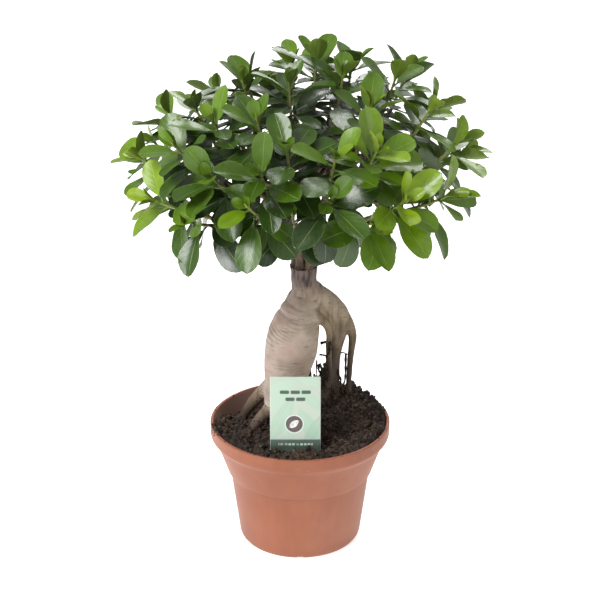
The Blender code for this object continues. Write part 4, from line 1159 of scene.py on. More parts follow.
class BONSAI_OT_rootstock(bpy.types.Operator):
    """Adds the rootstock with its swollen storage root and aerial roots, grown into one, and hair roots"""
    bl_idname = "bonsai.rootstock"
    bl_label = "Rootstock"

    def execute(self, context):
        look = context.scene.bonsai_bark
        roots = [root_path(root, 3.0) for root in ROOTS]
        mesh = fused("rough_roots", [tube(path, radii, 28) for path, radii in roots], look.voxel, 30)
        barked(mesh, roots, look)
        finish = ficus_bark(look)
        self.soil(points_of(mesh))
        piece("grown_rootstock", mesh, [finish], "rootstock")
        mesh = surface("hair_roots", *hair_roots(np.random.default_rng(5)))
        skin = damp_compost("dry_root_skin", "#1D1511", "#33261E", "#5C4838", 0.4)
        piece("hair_roots", mesh, [skin])
        return {"FINISHED"}

    def soil(self, points):
        """Damp crumbs cling to the roots' feet, fewer the higher up."""
        chance = np.random.default_rng(17)
        rise = points[:, 2] - compost_height(points[:, 0], points[:, 1])
        likely = np.exp(-np.maximum(rise, 0) / 0.0035) * (rise > -0.001) * (rise < 0.022)
        chosen = chance.choice(len(points), CLINGING_COUNT, replace=False, p=likely / likely.sum())
        sizes = chance.uniform(0.0003, 0.0012, CLINGING_COUNT)
        look = bpy.context.scene.bonsai_compost
        finish = damp_compost("clinging_peat", look.pit_code, look.peat_code, look.crumb_code)
        lumps_piece("clinging_crumbs", points[chosen], sizes, (0.5, 0.9), finish, chance)


# --- branches ---
BRANCH_CELL = 0.00055


def branch_bark(look):
    """Bark of one to three years' growth: smooth brown with raised pale pores."""
    made, tree, shader = new_material("young_ficus_bark", Roughness=0.62, IOR=1.45)
    where = add(tree, "TexCoord").outputs["Object"]
    broad = add(tree, "TexNoise", {"Vector": where, "Scale": per(11), "Detail": 4.0}).outputs["Fac"]
    base = add(tree, "ValToRGB", {"Fac": broad},
               stops=[(0.32, "#33241B"), (0.52, look.branch_code), (0.72, "#7D6B58")]).outputs["Color"]
    pores = add(tree, "TexVoronoi", {"Vector": where, "Scale": per(1.9)}).outputs["Distance"]
    dots = add(tree, "ValToRGB", {"Fac": pores}, stops=[(0.10, 1.0), (0.22, 0.0)]).outputs["Color"]
    base = add(tree, "Mix", {0: dots, 6: base, 7: "#9A8970"}).outputs[2]
    tree.links.new(base, shader.inputs["Base Color"])
    bump = add(tree, "Bump", {"Height": broad, "Strength": 0.5, "Distance": 0.0006})
    bump = add(tree, "Bump", {"Height": dots, "Strength": 0.3, "Distance": 0.0003,
                              "Normal": bump.outputs["Normal"]})
    tree.links.new(bump.outputs["Normal"], shader.inputs["Normal"])
    return made


class BONSAI_OT_branches(bpy.types.Operator):
    """Adds the grafted branches, each with its limbs grown out of one stem"""
    bl_idname = "bonsai.branches"
    bl_label = "Grafted branches"

    def execute(self, context):
        look = context.scene.bonsai_bark
        finish = branch_bark(look)
        for graft in PLAN[0]:
            t, fine, girth = self.refined(graft["stem"], 40)
            swollen_foot = 1 + 0.5 * np.exp(-t / 0.7)
            parts = [tube(fine, girth * swollen_foot, 16)]
            for limb in graft["limbs"]:
                t, fine, girth = self.refined(limb, 26)
                nodes = 1 + 0.10 * np.sin(t * 9) ** 8
                parts.append(tube(fine, girth * nodes, 12))
            mesh = fused("rough_branch", parts, BRANCH_CELL, 5)
            points = points_of(mesh)
            knots = 0.00016 * noise(points * 300, 31) + 0.00025 * noise(points * 110, 32)
            set_points(mesh, points + normals_of(mesh) * (knots + 0.0001)[:, None])
            piece("grafted_" + graft["name"], mesh, [finish], "branch_" + graft["name"])
        return {"FINISHED"}

    def refined(self, wood, steps):
        """A stem or limb in finer steps: its parameter, its points and its radii."""
        path, radii = wood
        t = np.linspace(0, len(path) - 1, steps)
        return t, smooth_path(path, steps), np.interp(t, np.arange(len(path)), radii)


# --- leafy shoots ---
# How often an inner leaf is tried on each limb, and the bounds that it stays within.
INNER_TRIES = 60
CROWN_TOP = CAD_BOX[1][2] - 0.004
CROWN_FOOT = SAWN_TOP + 0.006
CROWN_RADIUS = 0.128


def inner_leaves(grafts, shoots, seed):
    """Older leaves on the outer half of each limb and on its twig, wherever one fits between the rest.

    Each is tried at random turns and tilts until its blade is clear of every other leaf and of the wood.
    """
    chance = np.random.default_rng(seed)
    spaces = [keep_out_tube(*graft["stem"]) for graft in grafts]
    spaces += [keep_out_tube(*limb) for graft in grafts for limb in graft["limbs"]]
    spaces += [keep_out_tube(*shoot["twig"]) for shoot in shoots]
    spaces += [keep_out_leaf(leaf, False) for shoot in shoots for leaf in shoot["leaves"]]
    boxes = [[corners.min(0), corners.max(0)] for corners, _ in spaces]
    limbs = [limb for graft in grafts for limb in graft["limbs"]]
    steps, first, last = 60, 26, 58
    for shoot, (limb, _) in zip(shoots, limbs):
        path = smooth_path(np.vstack([limb, shoot["twig"][0][1:]]), steps)
        shoot["inner"] = []
        for _ in range(INNER_TRIES):
            spot = chance.integers(first, last)
            axis = unit(path[spot + 1] - path[spot - 1])
            bearing, lean = chance.uniform(0, math.tau), math.radians(chance.uniform(48, 104))
            way, face = leaning(axis, bearing, lean)
            face = unit(face + [0, 0, 0.5])
            face = unit(face - way * (face @ way))
            length = shoot["reach"] * chance.uniform(0.55, 0.92)
            leaf = (path[spot], way, face, length, (spot - first) / steps)
            corners, tree = keep_out_leaf(leaf, False)
            low, high = corners.min(0), corners.max(0)
            far = np.hypot(*corners[:, :2].T).max()
            if high[2] > CROWN_TOP or low[2] < CROWN_FOOT + 0.38 * far or far > CROWN_RADIUS:
                continue
            bounds = np.array(boxes)
            near = np.nonzero((bounds[:, 0] < high).all(1) & (bounds[:, 1] > low).all(1))[0]
            if any(tree.overlap(spaces[k][1]) for k in near):
                continue
            spaces.append((corners, tree))
            boxes.append([low, high])
            shoot["inner"].append(leaf)


# The leaf's grid: places across the blade, shares of the length with rings on the stalk, and shares
# of the blade with rings, closer together towards its tip. Then the stalk's share of the length, and
# the number of side veins, one about every 3.5 mm.
ACROSS = np.array([-1, -0.5, 0, 0.5, 1])
STALK_STEPS = np.array([0.0, 0.08])
BLADE_STEPS = 1 - (1 - np.linspace(0, 1, 9)) ** 1.4
STALK_SHARE = 0.15
VEIN_COUNT = (1 - STALK_SHARE) * LEAF_LENGTH / (3.5 * MM)


def leaf_surfaces(leaves, chance):
    """Leaves as closed surfaces: a round stalk that opens into a blade, one profile carried along each.

    s goes from 0 at the twig to 1 at the tip, and t from 0 to 1 along the blade. The midrib sinks by
    arch * s^2 of the length. The blade's half width is t^low * (1 - t)^high, scaled to 1 at its widest.
    Across it, v goes from -1 to 1: it lifts by fold * v^2, is pinched in along the
    midrib, and waves near the margin, and its lower face has the midrib standing out as a ridge.
    """
    count = len(leaves)
    foot, way, face = (np.array([leaf[k] for leaf in leaves])[:, None, None] for k in range(3))
    length = np.array([leaf[3] for leaf in leaves])[:, None, None]
    age = np.array([leaf[4] for leaf in leaves])[:, None, None]
    s = np.concatenate([STALK_STEPS, STALK_SHARE + (1 - STALK_SHARE) * BLADE_STEPS])[None, :, None]
    t = np.clip((s - STALK_SHARE) / (1 - STALK_SHARE), 0, 1)
    open_up = np.clip((s - 0.12) / 0.14, 0, 1) ** 1.5
    v = np.concatenate([ACROSS, ACROSS[-2:0:-1]])[None, None, :]
    above = np.concatenate([np.ones(len(ACROSS)), -np.ones(len(ACROSS) - 2)])[None, None, :]
    above = above * np.sqrt(np.maximum(1 - v**2, 0))
    low, high = chance.uniform(0.74, 0.98, (count, 1, 1)), chance.uniform(0.46, 0.70, (count, 1, 1))
    top = low / (low + high)
    blade = t**low * np.maximum(1 - t, 0.0004) ** high / (top**low * (1 - top) ** high)
    blade = chance.uniform(0.84, 1.08, (count, 1, 1)) * LEAF_WIDTH_SHARE * length / 2 * blade
    stalk = 0.00085 * (1 - 0.35 * np.minimum(s / 0.2, 1)) * (1 - 0.85 * t)
    half = np.sqrt(blade**2 + stalk**2)
    arch = arch_of(age)
    normal = units(face + way * 2 * arch[..., None] * s[..., None])
    across = units(np.cross(np.broadcast_to(way, normal.shape), normal))
    twist = chance.uniform(-0.22, 0.22, (count, 1, 1)) * t
    across, normal = (across * np.cos(twist)[..., None] + normal * np.sin(twist)[..., None],
                      normal * np.cos(twist)[..., None] - across * np.sin(twist)[..., None])
    fold = chance.uniform(0.06, 0.28, (count, 1, 1)) + 0.14 * age
    phase = chance.uniform(0, math.tau, (count, 1, 1))
    lift = fold * blade * v**2
    lift = lift + 0.055 * blade * np.sin(9.5 * t + phase + 1.7 * np.sign(v)) * np.abs(v) ** 3
    rib = np.exp(-((v / 0.12) ** 2))
    lift = lift - 0.00035 * open_up * rib * (above > 0)
    lift = lift - 0.00045 * open_up * (1 - t) * rib * (above < 0)
    thick = stalk * (1 - open_up) + 0.00019 * open_up
    middle = (foot + way * (length * (s - 0.35 * arch * s**2))[..., None]
              - face * (length * arch * s**2)[..., None])
    rings = middle + across * (half * v)[..., None] + normal * (above * thick + lift)[..., None]
    tip = middle[:, -1, 0] + way[:, 0, 0] * 0.0006
    ends = np.stack([middle[:, 0, 0], tip], 1)
    points, quads, tris = swept(rings, ends)
    k = len(ACROSS) * 2 - 2
    n = s.shape[1]
    along = np.broadcast_to(t, (count, n, k)).reshape(count, n * k)
    side = np.broadcast_to(v, (count, n, k)).reshape(count, n * k) * 0.5 + 0.5
    along = np.concatenate([along, np.zeros((count, 1)), np.ones((count, 1))], 1).ravel()
    side = np.concatenate([side, np.full((count, 2), 0.5)], 1).ravel()
    luck = np.repeat(chance.uniform(0, 1, count), n * k + 2)
    below = np.tile(np.tile(np.arange(k) >= len(ACROSS) - 1, n - 1), count)
    below_caps = np.tile(np.tile(np.arange(k) >= len(ACROSS) - 1, 2), count)
    return points, quads, tris, along, side, luck, below, below_caps


# The twig's rings and sides, and the end bud's radii from its foot to its point.
TWIG_STEPS = 22
TWIG_SIDES = 10
BUD_RADII = np.array([1.25, 1.3, 1.1, 0.8, 0.45, 0.12]) * 0.0009


def shoot_mesh(name, leaves, ages, youth, twig, chance):
    """One shoot's leaves, its twig and its pointed end bud as one mesh, with what the materials read."""
    points, quads, tris, along, side, luck, below, caps = leaf_surfaces(leaves, chance)
    path, radii = twig
    fine = smooth_path(path, TWIG_STEPS)
    way = unit(fine[-1] - fine[-2])
    bud = fine[-1] + way * np.linspace(0.0015, 0.009, len(BUD_RADII))[:, None]
    girth = np.interp(np.linspace(0, len(path) - 1, TWIG_STEPS), np.arange(len(path)), radii) * 1.08
    girth *= 1 + 0.14 * np.maximum(0, np.sin(np.linspace(0, 9 * math.pi, TWIG_STEPS))) ** 3
    tapered = np.r_[girth, BUD_RADII]
    stem = tube(np.vstack([fine, bud]), tapered, TWIG_SIDES)
    parts = merged([(points, quads, tris), stem])
    mesh = surface(name, *parts)
    extra = len(stem[0])
    slots = [below, np.full(len(stem[1]), 2), caps, np.full(len(stem[2]), 2)]
    mesh.polygons.foreach_set("material_index", np.concatenate(slots).astype(np.int32))
    grown = np.concatenate([np.repeat(ages, len(points) // len(ages)),
                            np.repeat(np.linspace(0, 1, len(tapered)), TWIG_SIDES), [0, 1]])
    point_value(mesh, "youth", np.clip(youth + 0.55 * (grown - 0.45), 0, 1))
    point_value(mesh, "luck", np.r_[luck, np.full(extra, 0.5)])
    spread = np.stack([np.r_[along, np.zeros(extra)], np.r_[side, np.zeros(extra)]], -1)
    corners = np.empty(len(mesh.loops), np.int32)
    mesh.loops.foreach_get("vertex_index", corners)
    mesh.set_sharp_from_angle(angle=math.radians(75))
    mesh.uv_layers.new(name="blade").data.foreach_set("uv", spread[corners].astype(np.float32).ravel())
    return mesh


def ficus_leaf(look, name, under):
    """A living leaf: a waxy skin over green flesh, glossy above and matt and paler below, with a pale
    midrib, faint side veins that leave it at a slant, and a thin pale margin."""
    rough = 0.55 if under else 0.34
    made, tree, shader = new_material(name, Roughness=rough, IOR=1.45, Coat_Weight=0.0 if under else 0.35,
                                      Coat_Roughness=0.22, Specular_IOR_Level=0.3 if under else 0.5)
    spread = add(tree, "UVMap", uv_map="blade").outputs["UV"]
    parts = add(tree, "SeparateXYZ", {"Vector": spread})
    youth = add(tree, "Attribute", attribute_name="youth").outputs["Fac"]
    luck = add(tree, "Attribute", attribute_name="luck").outputs["Fac"]
    where = add(tree, "TexCoord").outputs["Object"]
    codes = look.under_codes if under else look.upper_codes
    stops = [(place, code) for place, code in zip((0.0, 0.3, 0.62, 1.0), codes.split())]
    shifted = add(tree, "Math", {0: luck, 1: 0.22, 2: youth}, operation="MULTIPLY_ADD").outputs[0]
    shifted = add(tree, "Math", {0: shifted, 1: 0.11}, operation="SUBTRACT").outputs[0]
    base = add(tree, "ValToRGB", {"Fac": shifted}, stops=stops).outputs["Color"]
    off = add(tree, "Math", {0: parts.outputs["Y"], 1: 0.5}, operation="SUBTRACT").outputs[0]
    off = add(tree, "Math", {0: off}, operation="ABSOLUTE").outputs[0]
    mottle = add(tree, "TexNoise", {"Vector": where, "Scale": per(6.2), "Detail": 3.0}).outputs["Fac"]
    mottled = add(tree, "ValToRGB", {"Fac": mottle}, stops=[(0.3, 0.80), (0.7, 1.12)]).outputs["Color"]
    base = add(tree, "Mix", {0: 0.7, 6: base, 7: mottled}, blend_type="MULTIPLY").outputs[2]
    slant = add(tree, "Math", {0: off, 1: -9.0, 2: 0.0}, operation="MULTIPLY_ADD").outputs[0]
    slant = add(tree, "Math", {0: parts.outputs["X"], 1: VEIN_COUNT, 2: slant},
                operation="MULTIPLY_ADD").outputs[0]
    wave = add(tree, "Math", {0: slant, 1: 1.0}, operation="PINGPONG").outputs[0]
    veins = add(tree, "ValToRGB", {"Fac": wave}, stops=[(0.0, 1.0), (0.14, 0.0)]).outputs["Color"]
    faint = add(tree, "Math", {0: veins, 1: 0.16 if under else 0.06}, operation="MULTIPLY").outputs[0]
    base = add(tree, "Mix", {0: faint, 6: base, 7: look.vein_code}).outputs[2]
    rib = add(tree, "ValToRGB", {"Fac": off}, stops=[(0.008, 1.0), (0.024, 0.0)]).outputs["Color"]
    rib_share = add(tree, "Math", {0: rib, 1: 0.46 if under else 0.32}, operation="MULTIPLY").outputs[0]
    base = add(tree, "Mix", {0: rib_share, 6: base, 7: look.vein_code}).outputs[2]
    edge = add(tree, "MapRange", {"Value": off, "From Min": 0.478, "From Max": 0.498,
                                  "To Max": 0.45}).outputs["Result"]
    base = add(tree, "Mix", {0: edge, 6: base, 7: look.vein_code}).outputs[2]
    tree.links.new(base, shader.inputs["Base Color"])
    worn = add(tree, "MapRange", {"Value": mottle, "From Min": 0.3, "From Max": 0.7, "To Min": rough - 0.07,
                                  "To Max": rough + 0.10}).outputs["Result"]
    tree.links.new(worn, shader.inputs["Roughness"])
    pillow = add(tree, "ValToRGB", {"Fac": wave}, stops=[(0.0, 0.0), (0.45, 1.0)]).outputs["Color"]
    bump = add(tree, "Bump", {"Height": pillow, "Strength": 0.12, "Distance": 0.0005})
    bump = add(tree, "Bump", {"Height": rib, "Strength": 0.35, "Distance": -0.0005 if not under else 0.0005,
                              "Normal": bump.outputs["Normal"]})
    bump = add(tree, "Bump", {"Height": mottle, "Strength": 0.12, "Distance": 0.0008,
                              "Normal": bump.outputs["Normal"]})
    tree.links.new(bump.outputs["Normal"], shader.inputs["Normal"])
    return made


def green_twig(look):
    """This year's twig: brown at its foot, green towards the bud, with a waxy skin."""
    made, tree, shader = new_material("green_twig", Roughness=0.5, IOR=1.45)
    youth = add(tree, "Attribute", attribute_name="youth").outputs["Fac"]
    where = add(tree, "TexCoord").outputs["Object"]
    grain = add(tree, "TexNoise", {"Vector": where, "Scale": per(2.6), "Detail": 3.0}).outputs["Fac"]
    mixed = add(tree, "Math", {0: grain, 1: 0.25, 2: youth}, operation="MULTIPLY_ADD").outputs[0]
    base = add(tree, "ValToRGB", {"Fac": mixed},
               stops=[(0.15, look.twig_code), (0.5, "#6E6B3A"), (0.85, "#93A24E")]).outputs["Color"]
    tree.links.new(base, shader.inputs["Base Color"])
    bump = add(tree, "Bump", {"Height": grain, "Strength": 0.4, "Distance": 0.0004})
    tree.links.new(bump.outputs["Normal"], shader.inputs["Normal"])
    return made


def bud_leaves(shoot, chance):
    """Two unfolding leaves beside the end bud, as leaf rows like the plan's."""
    path = shoot["twig"][0]
    axis = unit(path[-1] - path[-2])
    rows = []
    for k in range(2):
        bearing = shoot["roll"] + (shoot["count"] + k) * LEAF_TURN
        way, face = leaning(axis, bearing, math.radians(chance.uniform(16, 30)))
        rows.append((path[-1] - axis * 0.001, way, unit(face), chance.uniform(0.013, 0.019), 1.0))
    return rows


class BONSAI_OT_shoots(bpy.types.Operator):
    """Adds the leafy shoots, each with its twig, its leaves, two unfolding leaves and an end bud"""
    bl_idname = "bonsai.shoots"
    bl_label = "Leafy shoots"

    def execute(self, context):
        look = context.scene.bonsai_leaf
        finishes = [ficus_leaf(look, "waxy_leaf_upper", False), ficus_leaf(look, "matt_leaf_underside", True),
                    green_twig(look)]
        inner_leaves(*PLAN, look.seed)
        for number, shoot in enumerate(PLAN[1], 1):
            chance = np.random.default_rng(look.seed + number)
            leaves = shoot["leaves"] + shoot["inner"] + bud_leaves(shoot, chance)
            ages = np.array([leaf[4] for leaf in leaves])
            youth = SHOOT_YOUTH.get(number, 0.25)
            name = "leafy_" + shoot["name"]
            mesh = shoot_mesh(name, leaves, ages, youth, shoot["twig"], chance)
            piece(name, mesh, finishes, shoot["name"])
        return {"FINISHED"}


# --- label ---
CARD_CORNER = 0.0009
INK_EDGE = 0.0003  # how far the edge of a printed shape fades


def card_half_width(z):
    """Half the label's width at a height above the card's lower edge: a card with rounded corners, and
    below it shoulders that narrow to a pointed stake."""
    top = np.clip((z - (LABEL_FACE_HEIGHT - CARD_CORNER)) / CARD_CORNER, 0, 1)
    card = LABEL_WIDTH / 2 - CARD_CORNER * (1 - np.sqrt(np.maximum(1 - top**2, 0)))
    neck = np.interp(z, [-0.006, 0.0], [LABEL_STAKE_WIDTH / 2, LABEL_WIDTH / 2])
    point = np.interp(z, [-LABEL_STAKE_LENGTH, -LABEL_STAKE_LENGTH + 0.012], [0.0003, LABEL_STAKE_WIDTH / 2])
    return np.where(z > 0, card, np.minimum(neck, point))


def inked(colour, ink, cover):
    """A colour with an ink over it, where cover is from 0 to 1."""
    return colour + (np.array(linear(ink)) - colour) * np.clip(cover, 0, 1)[:, None]


def printed_leaf(x, z, root, bearing, length, width):
    """How much of a point a drawn leaf covers: a lens round its midrib, with pale slanted veins."""
    way = np.array([math.cos(math.radians(bearing)), math.sin(math.radians(bearing))])
    t = ((x - root[0]) * way[0] + (z - root[1]) * way[1]) / length
    off = ((x - root[0]) * -way[1] + (z - root[1]) * way[0]) / width
    edge = np.sin(np.clip(t, 0, 1) * math.pi) ** 0.8 - np.abs(off)
    cover = np.clip(edge * width / 0.0004, 0, 1)
    veins = np.abs((t * 9 - np.abs(off) * 2.2) % 1 - 0.5) < 0.09
    return cover * np.where(veins | (np.abs(off) < 0.06), 0.35, 1.0)


def card_print(x, z, look):
    """The card's colours at points across and up it: mint with drawn leaves, two rows of plain dashes, a
    dark round badge with a leaf, and a dark band with a row of small dashes. It has no lettering."""
    colour = np.tile(np.array(linear(look.mint_code)), (len(x), 1))
    top = LABEL_FACE_HEIGHT
    colour = inked(colour, "#A9BEA9", 0.5 * np.clip((z - 0.75 * top) / (0.3 * top), 0, 1))
    for place, bearing, size, ink, strength in (
            ((-0.020, 0.016), 62, 0.040, "#9DBDA5", 0.75), ((0.019, 0.012), 118, 0.036, "#9DBDA5", 0.8),
            ((-0.021, 0.040), 48, 0.026, "#A9C4B0", 0.8), ((0.021, 0.040), 135, 0.028, "#A4C0AB", 0.8),
            ((-0.004, 0.010), 92, 0.030, "#A8C4AF", 0.7), ((-0.021, 0.056), 20, 0.024, "#ABC6B2", 0.7),
            ((0.021, 0.060), 160, 0.022, "#AEC8B5", 0.7), ((0.006, 0.012), 60, 0.030, "#8DB09A", 0.5)):
        leaf = printed_leaf(x, z, place, bearing, size, size * 0.16)
        colour = inked(colour, ink, strength * leaf)
    for row, middles in ((top - 0.0118, (-8.1, 0.0, 8.1)), (top - 0.0172, (-4.0, 4.0))):
        for middle in middles:
            gap = np.maximum(np.abs(x - middle * MM) - 0.0026, 0)
            reach = np.hypot(gap, np.maximum(np.abs(z - row) - 0.0005, 0))
            colour = inked(colour, look.ink_code, (0.0010 - reach) / INK_EDGE)
    out = np.hypot(x + 0.0008, z - (top - 0.0365))
    colour = inked(colour, "#DCE6DD", (0.0072 - out) / INK_EDGE)
    colour = inked(colour, look.badge_code, (0.0066 - out) / INK_EDGE)
    icon = printed_leaf(x, z, (-0.0046, top - 0.0395), 40, 0.0092, 0.0026)
    colour = inked(colour, "#E9EDE6", icon)
    colour = inked(colour, look.ink_code, (top - 0.0485 - z) / INK_EDGE)
    dashes = (np.abs(z - (top - 0.0525)) < 0.0007) & (np.abs(x) < 0.013) & ((x * 1000 + 40) % 2.9 < 2.0)
    return inked(colour, "#C9DCCB", dashes * 0.8)


class BONSAI_OT_label(bpy.types.Operator):
    """Adds the plant label: a thin printed card on a pointed stake, with generic marks and no lettering"""
    bl_idname = "bonsai.label"
    bl_label = "Plant label"

    def execute(self, context):
        look = context.scene.bonsai_label
        bend = np.linspace(0, 1, 9)
        rows = np.concatenate([np.linspace(-LABEL_STAKE_LENGTH, -0.0002, 30),
                               np.linspace(0.0002, LABEL_FACE_HEIGHT - 0.0011, 168),
                               LABEL_FACE_HEIGHT - CARD_CORNER * (1 - np.sin(bend * math.pi / 2))])
        share = np.linspace(1, -1, 96)
        u = np.concatenate([share, -share[1:-1]])
        back = np.concatenate([np.ones(len(share)), -np.ones(len(share) - 2)])
        half = card_half_width(rows)[:, None]
        x = half * u
        z = np.broadcast_to(rows[:, None], x.shape)
        rim = np.clip((1 - np.abs(u)) * half / 0.0003, 0, 1)
        depth = back * look.thickness / 2 * (0.35 + 0.65 * rim)
        bow = look.bow * (x / (LABEL_WIDTH / 2)) ** 2 * np.clip(z / LABEL_FACE_HEIGHT, 0, 1)
        bow = bow + 0.0012 * np.clip(z / LABEL_FACE_HEIGHT, 0, 1) ** 3
        y = -(RIM_RADIUS - LABEL_FROM_RIM)
        base = float(compost_height(LABEL_X, y)) - LABEL_SUNK
        c, s = math.cos(LABEL_LEAN), math.sin(LABEL_LEAN)
        deep = depth + bow
        rings = np.stack([x + LABEL_X, y + deep * c + z * s, base + z * c - deep * s], -1)
        ends = rings[[0, -1]].mean(axis=1)
        mesh = surface("plant_label", *swept(rings[None], ends[None]))
        colours = card_print(x.ravel(), z.ravel(), look)
        plain = (back > 0)[None, :].repeat(len(rows), 0).ravel() | (z.ravel() < 0)
        bare = linear("#CDD3CC")
        colours[plain] = bare
        colours = np.concatenate([colours, [bare, bare]])
        ink = mesh.attributes.new("print", "FLOAT_COLOR", "POINT")
        rgba = np.concatenate([colours, np.ones((len(colours), 1))], 1)
        ink.data.foreach_set("color", rgba.astype(np.float32).ravel())
        mesh.set_sharp_from_angle(angle=math.radians(40))
        piece("plant_label", mesh, [self.printed_card()], "label")
        return {"FINISHED"}

    def printed_card(self):
        """Polypropylene card printed by offset: flat, with a satin varnish and a trace of dust."""
        made, tree, shader = new_material("printed_polypropylene_card", Roughness=0.36, IOR=1.49,
                                          Coat_Weight=0.15, Coat_Roughness=0.2)
        ink = add(tree, "Attribute", attribute_name="print").outputs["Color"]
        where = add(tree, "TexCoord").outputs["Object"]
        dust = add(tree, "TexNoise", {"Vector": where, "Scale": per(3.8), "Detail": 5.0}).outputs["Fac"]
        height = add(tree, "SeparateXYZ", {"Vector": where}).outputs["Z"]
        low = add(tree, "MapRange", {"Value": height, "From Min": COMPOST_LEVEL + 0.012,
                                     "From Max": COMPOST_LEVEL + 0.002}).outputs["Result"]
        dust = add(tree, "MapRange", {"Value": dust, "From Min": 0.45, "From Max": 0.62}).outputs["Result"]
        soiled = add(tree, "Math", {0: low, 1: dust}, operation="MULTIPLY").outputs[0]
        base = add(tree, "Mix", {0: soiled, 6: ink, 7: "#4A3B30"}).outputs[2]
        tree.links.new(base, shader.inputs["Base Color"])
        bump = add(tree, "Bump", {"Height": dust, "Strength": 0.06, "Distance": 0.0003})
        tree.links.new(bump.outputs["Normal"], shader.inputs["Normal"])
        return made


# --- stage ---
class BONSAI_OT_stage(bpy.types.Operator):
    """Adds the pale floor, the soft studio lights and the camera"""
    bl_idname = "bonsai.stage"
    bl_label = "Stage"

    def execute(self, context):
        look = context.scene.bonsai_stage
        cells = 24
        t = np.linspace(-1, 1, cells + 1) * look.floor_size / 2
        x, y = np.meshgrid(t, t)
        points = np.stack([x, y, np.zeros_like(x)], -1).reshape(-1, 3)
        i, j = np.meshgrid(np.arange(cells), np.arange(cells), indexing="ij")
        corner = (i * (cells + 1) + j).ravel()
        quads = np.stack([corner, corner + 1, corner + cells + 2, corner + cells + 1], -1)
        floor = loose_object("floor", surface("floor", points, quads, smooth=False))
        floor.data.materials.append(self.lit_floor())
        for name, place, size, power in (
                ("key_light", (-1.15, -0.95, 1.5), 1.1, look.key_power),
                ("fill_light", (1.3, -1.2, 0.9), 1.0, look.fill_power),
                ("back_light", (0.35, 1.3, 1.5), 1.0, look.back_power)):
            self.light(context, name, place, size, power)
        self.sky(context, look)
        self.camera(context, look)
        return {"FINISHED"}

    def lit_floor(self):
        """Opal acrylic lit from below, as on a product table: it stays white, with faint soft shadows."""
        made, tree, shader = new_material("opal_acrylic_table", Roughness=0.85, Emission_Strength=0.6)
        shader.inputs["Emission Color"].default_value = (1, 1, 1, 1)
        where = add(tree, "TexCoord").outputs["Object"]
        grain = add(tree, "TexNoise", {"Vector": where, "Scale": per(170), "Detail": 3.0}).outputs["Fac"]
        base = add(tree, "ValToRGB", {"Fac": grain}, stops=[(0.3, "#F3F3F2"), (0.7, "#F8F8F7")])
        tree.links.new(base.outputs["Color"], shader.inputs["Base Color"])
        return made

    def light(self, context, name, place, size, power):
        data = bpy.data.lights.new(name, "AREA")
        data.shape = "DISK"
        data.size = size
        data.energy = power
        made = bpy.data.objects.new(name, data)
        context.scene.collection.objects.link(made)
        made.location = place
        aim = np.array([0, 0, 0.2]) - np.array(place)
        made.rotation_euler = (math.pi - math.acos(aim[2] / np.linalg.norm(aim)), 0,
                               math.atan2(aim[1], aim[0]) - math.pi / 2)

    def sky(self, context, look):
        world = bpy.data.worlds.new("studio")
        world.use_nodes = True
        back = world.node_tree.nodes["Background"]
        back.inputs["Color"].default_value = (1.0, 1.0, 1.0, 1)
        seen = add(world.node_tree, "LightPath").outputs["Is Camera Ray"]
        strength = add(world.node_tree, "MapRange", {"Value": seen, "To Min": look.sky_strength})
        world.node_tree.links.new(strength.outputs["Result"], back.inputs["Strength"])
        context.scene.world = world
        context.scene.view_settings.view_transform = "Standard"

    def camera(self, context, look):
        data = bpy.data.cameras.new("camera")
        data.sensor_width = 36.0
        data.lens = look.lens
        made = bpy.data.objects.new("camera", data)
        context.scene.collection.objects.link(made)
        back, up = look.distance * math.cos(look.pitch), look.distance * math.sin(look.pitch)
        made.location = (0, -back, look.aim_height + up)
        made.rotation_euler = (math.pi / 2 - look.pitch, 0, 0)
        context.scene.camera = made


# --- settings ---
def hex_setting(name, what, default):
    return bpy.props.StringProperty(name=name, description="sRGB hex colour of " + what, default=default)


def number(name, description, default, unit="NONE"):
    return bpy.props.FloatProperty(name=name, description=description, default=default, unit=unit)


class PotLook(bpy.types.PropertyGroup):
    """The pot's finish and edges"""
    body_code: hex_setting("Body", "the pot", "#985B41")
    shade_code: hex_setting("Shade", "its darker flow marks", "#8C5037")
    bloom_code: hex_setting("Bloom", "its paler bloom", "#A1674E")
    edge_round: number("Edge round", "Radius that eases the pot's edges", 0.0016, "LENGTH")
    profile_step: number("Profile step", "Longest step along its profile", 0.0022, "LENGTH")
    out_of_round: bpy.props.FloatProperty(name="Out of round", description="Waviness of its rim, as a share",
                                          default=0.0022, subtype="FACTOR")


class CompostLook(bpy.types.PropertyGroup):
    """The compost's colours and what is scattered on it"""
    pit_code: hex_setting("Pits", "the pits between crumbs", "#201815")
    peat_code: hex_setting("Peat", "the peat", "#43362F")
    crumb_code: hex_setting("Crumbs", "drier crumbs", "#5E5047")
    fibre_code: hex_setting("Fibres", "the fibrous crumbs", "#76655A")
    crumb_count: bpy.props.IntProperty(name="Crumbs", description="Number of loose crumbs", default=3600)
    chip_count: bpy.props.IntProperty(name="Chips", description="Number of bark chips", default=190)
    fibre_count: bpy.props.IntProperty(name="Fibres", description="Number of peat fibres", default=420)
    seed: bpy.props.IntProperty(name="Seed", description="Start of the random scatter", default=7)


class BarkLook(bpy.types.PropertyGroup):
    """The bark of the rootstock and of the branches"""
    skin_code: hex_setting("Skin", "the storage root", "#BEB0A5")
    leg_code: hex_setting("Legs", "the thick aerial roots", "#87755F")
    thin_code: hex_setting("Thin roots", "the thin aerial roots", "#6F5E4C")
    # The crease colour is partly the bark's darker lines and partly painted shade in the creases.
    crease_and_shade_code: hex_setting("Creases", "the ring creases", "#5E4E44")
    neck_code: hex_setting("Neck", "the old bark on the neck", "#665651")
    branch_code: hex_setting("Branches", "the branches", "#574334")
    ring_spacing: number("Ring spacing", "Distance between ring creases", 0.0028, "LENGTH")
    voxel: number("Detail", "Size of the grown surface's facets", 0.0007, "LENGTH")


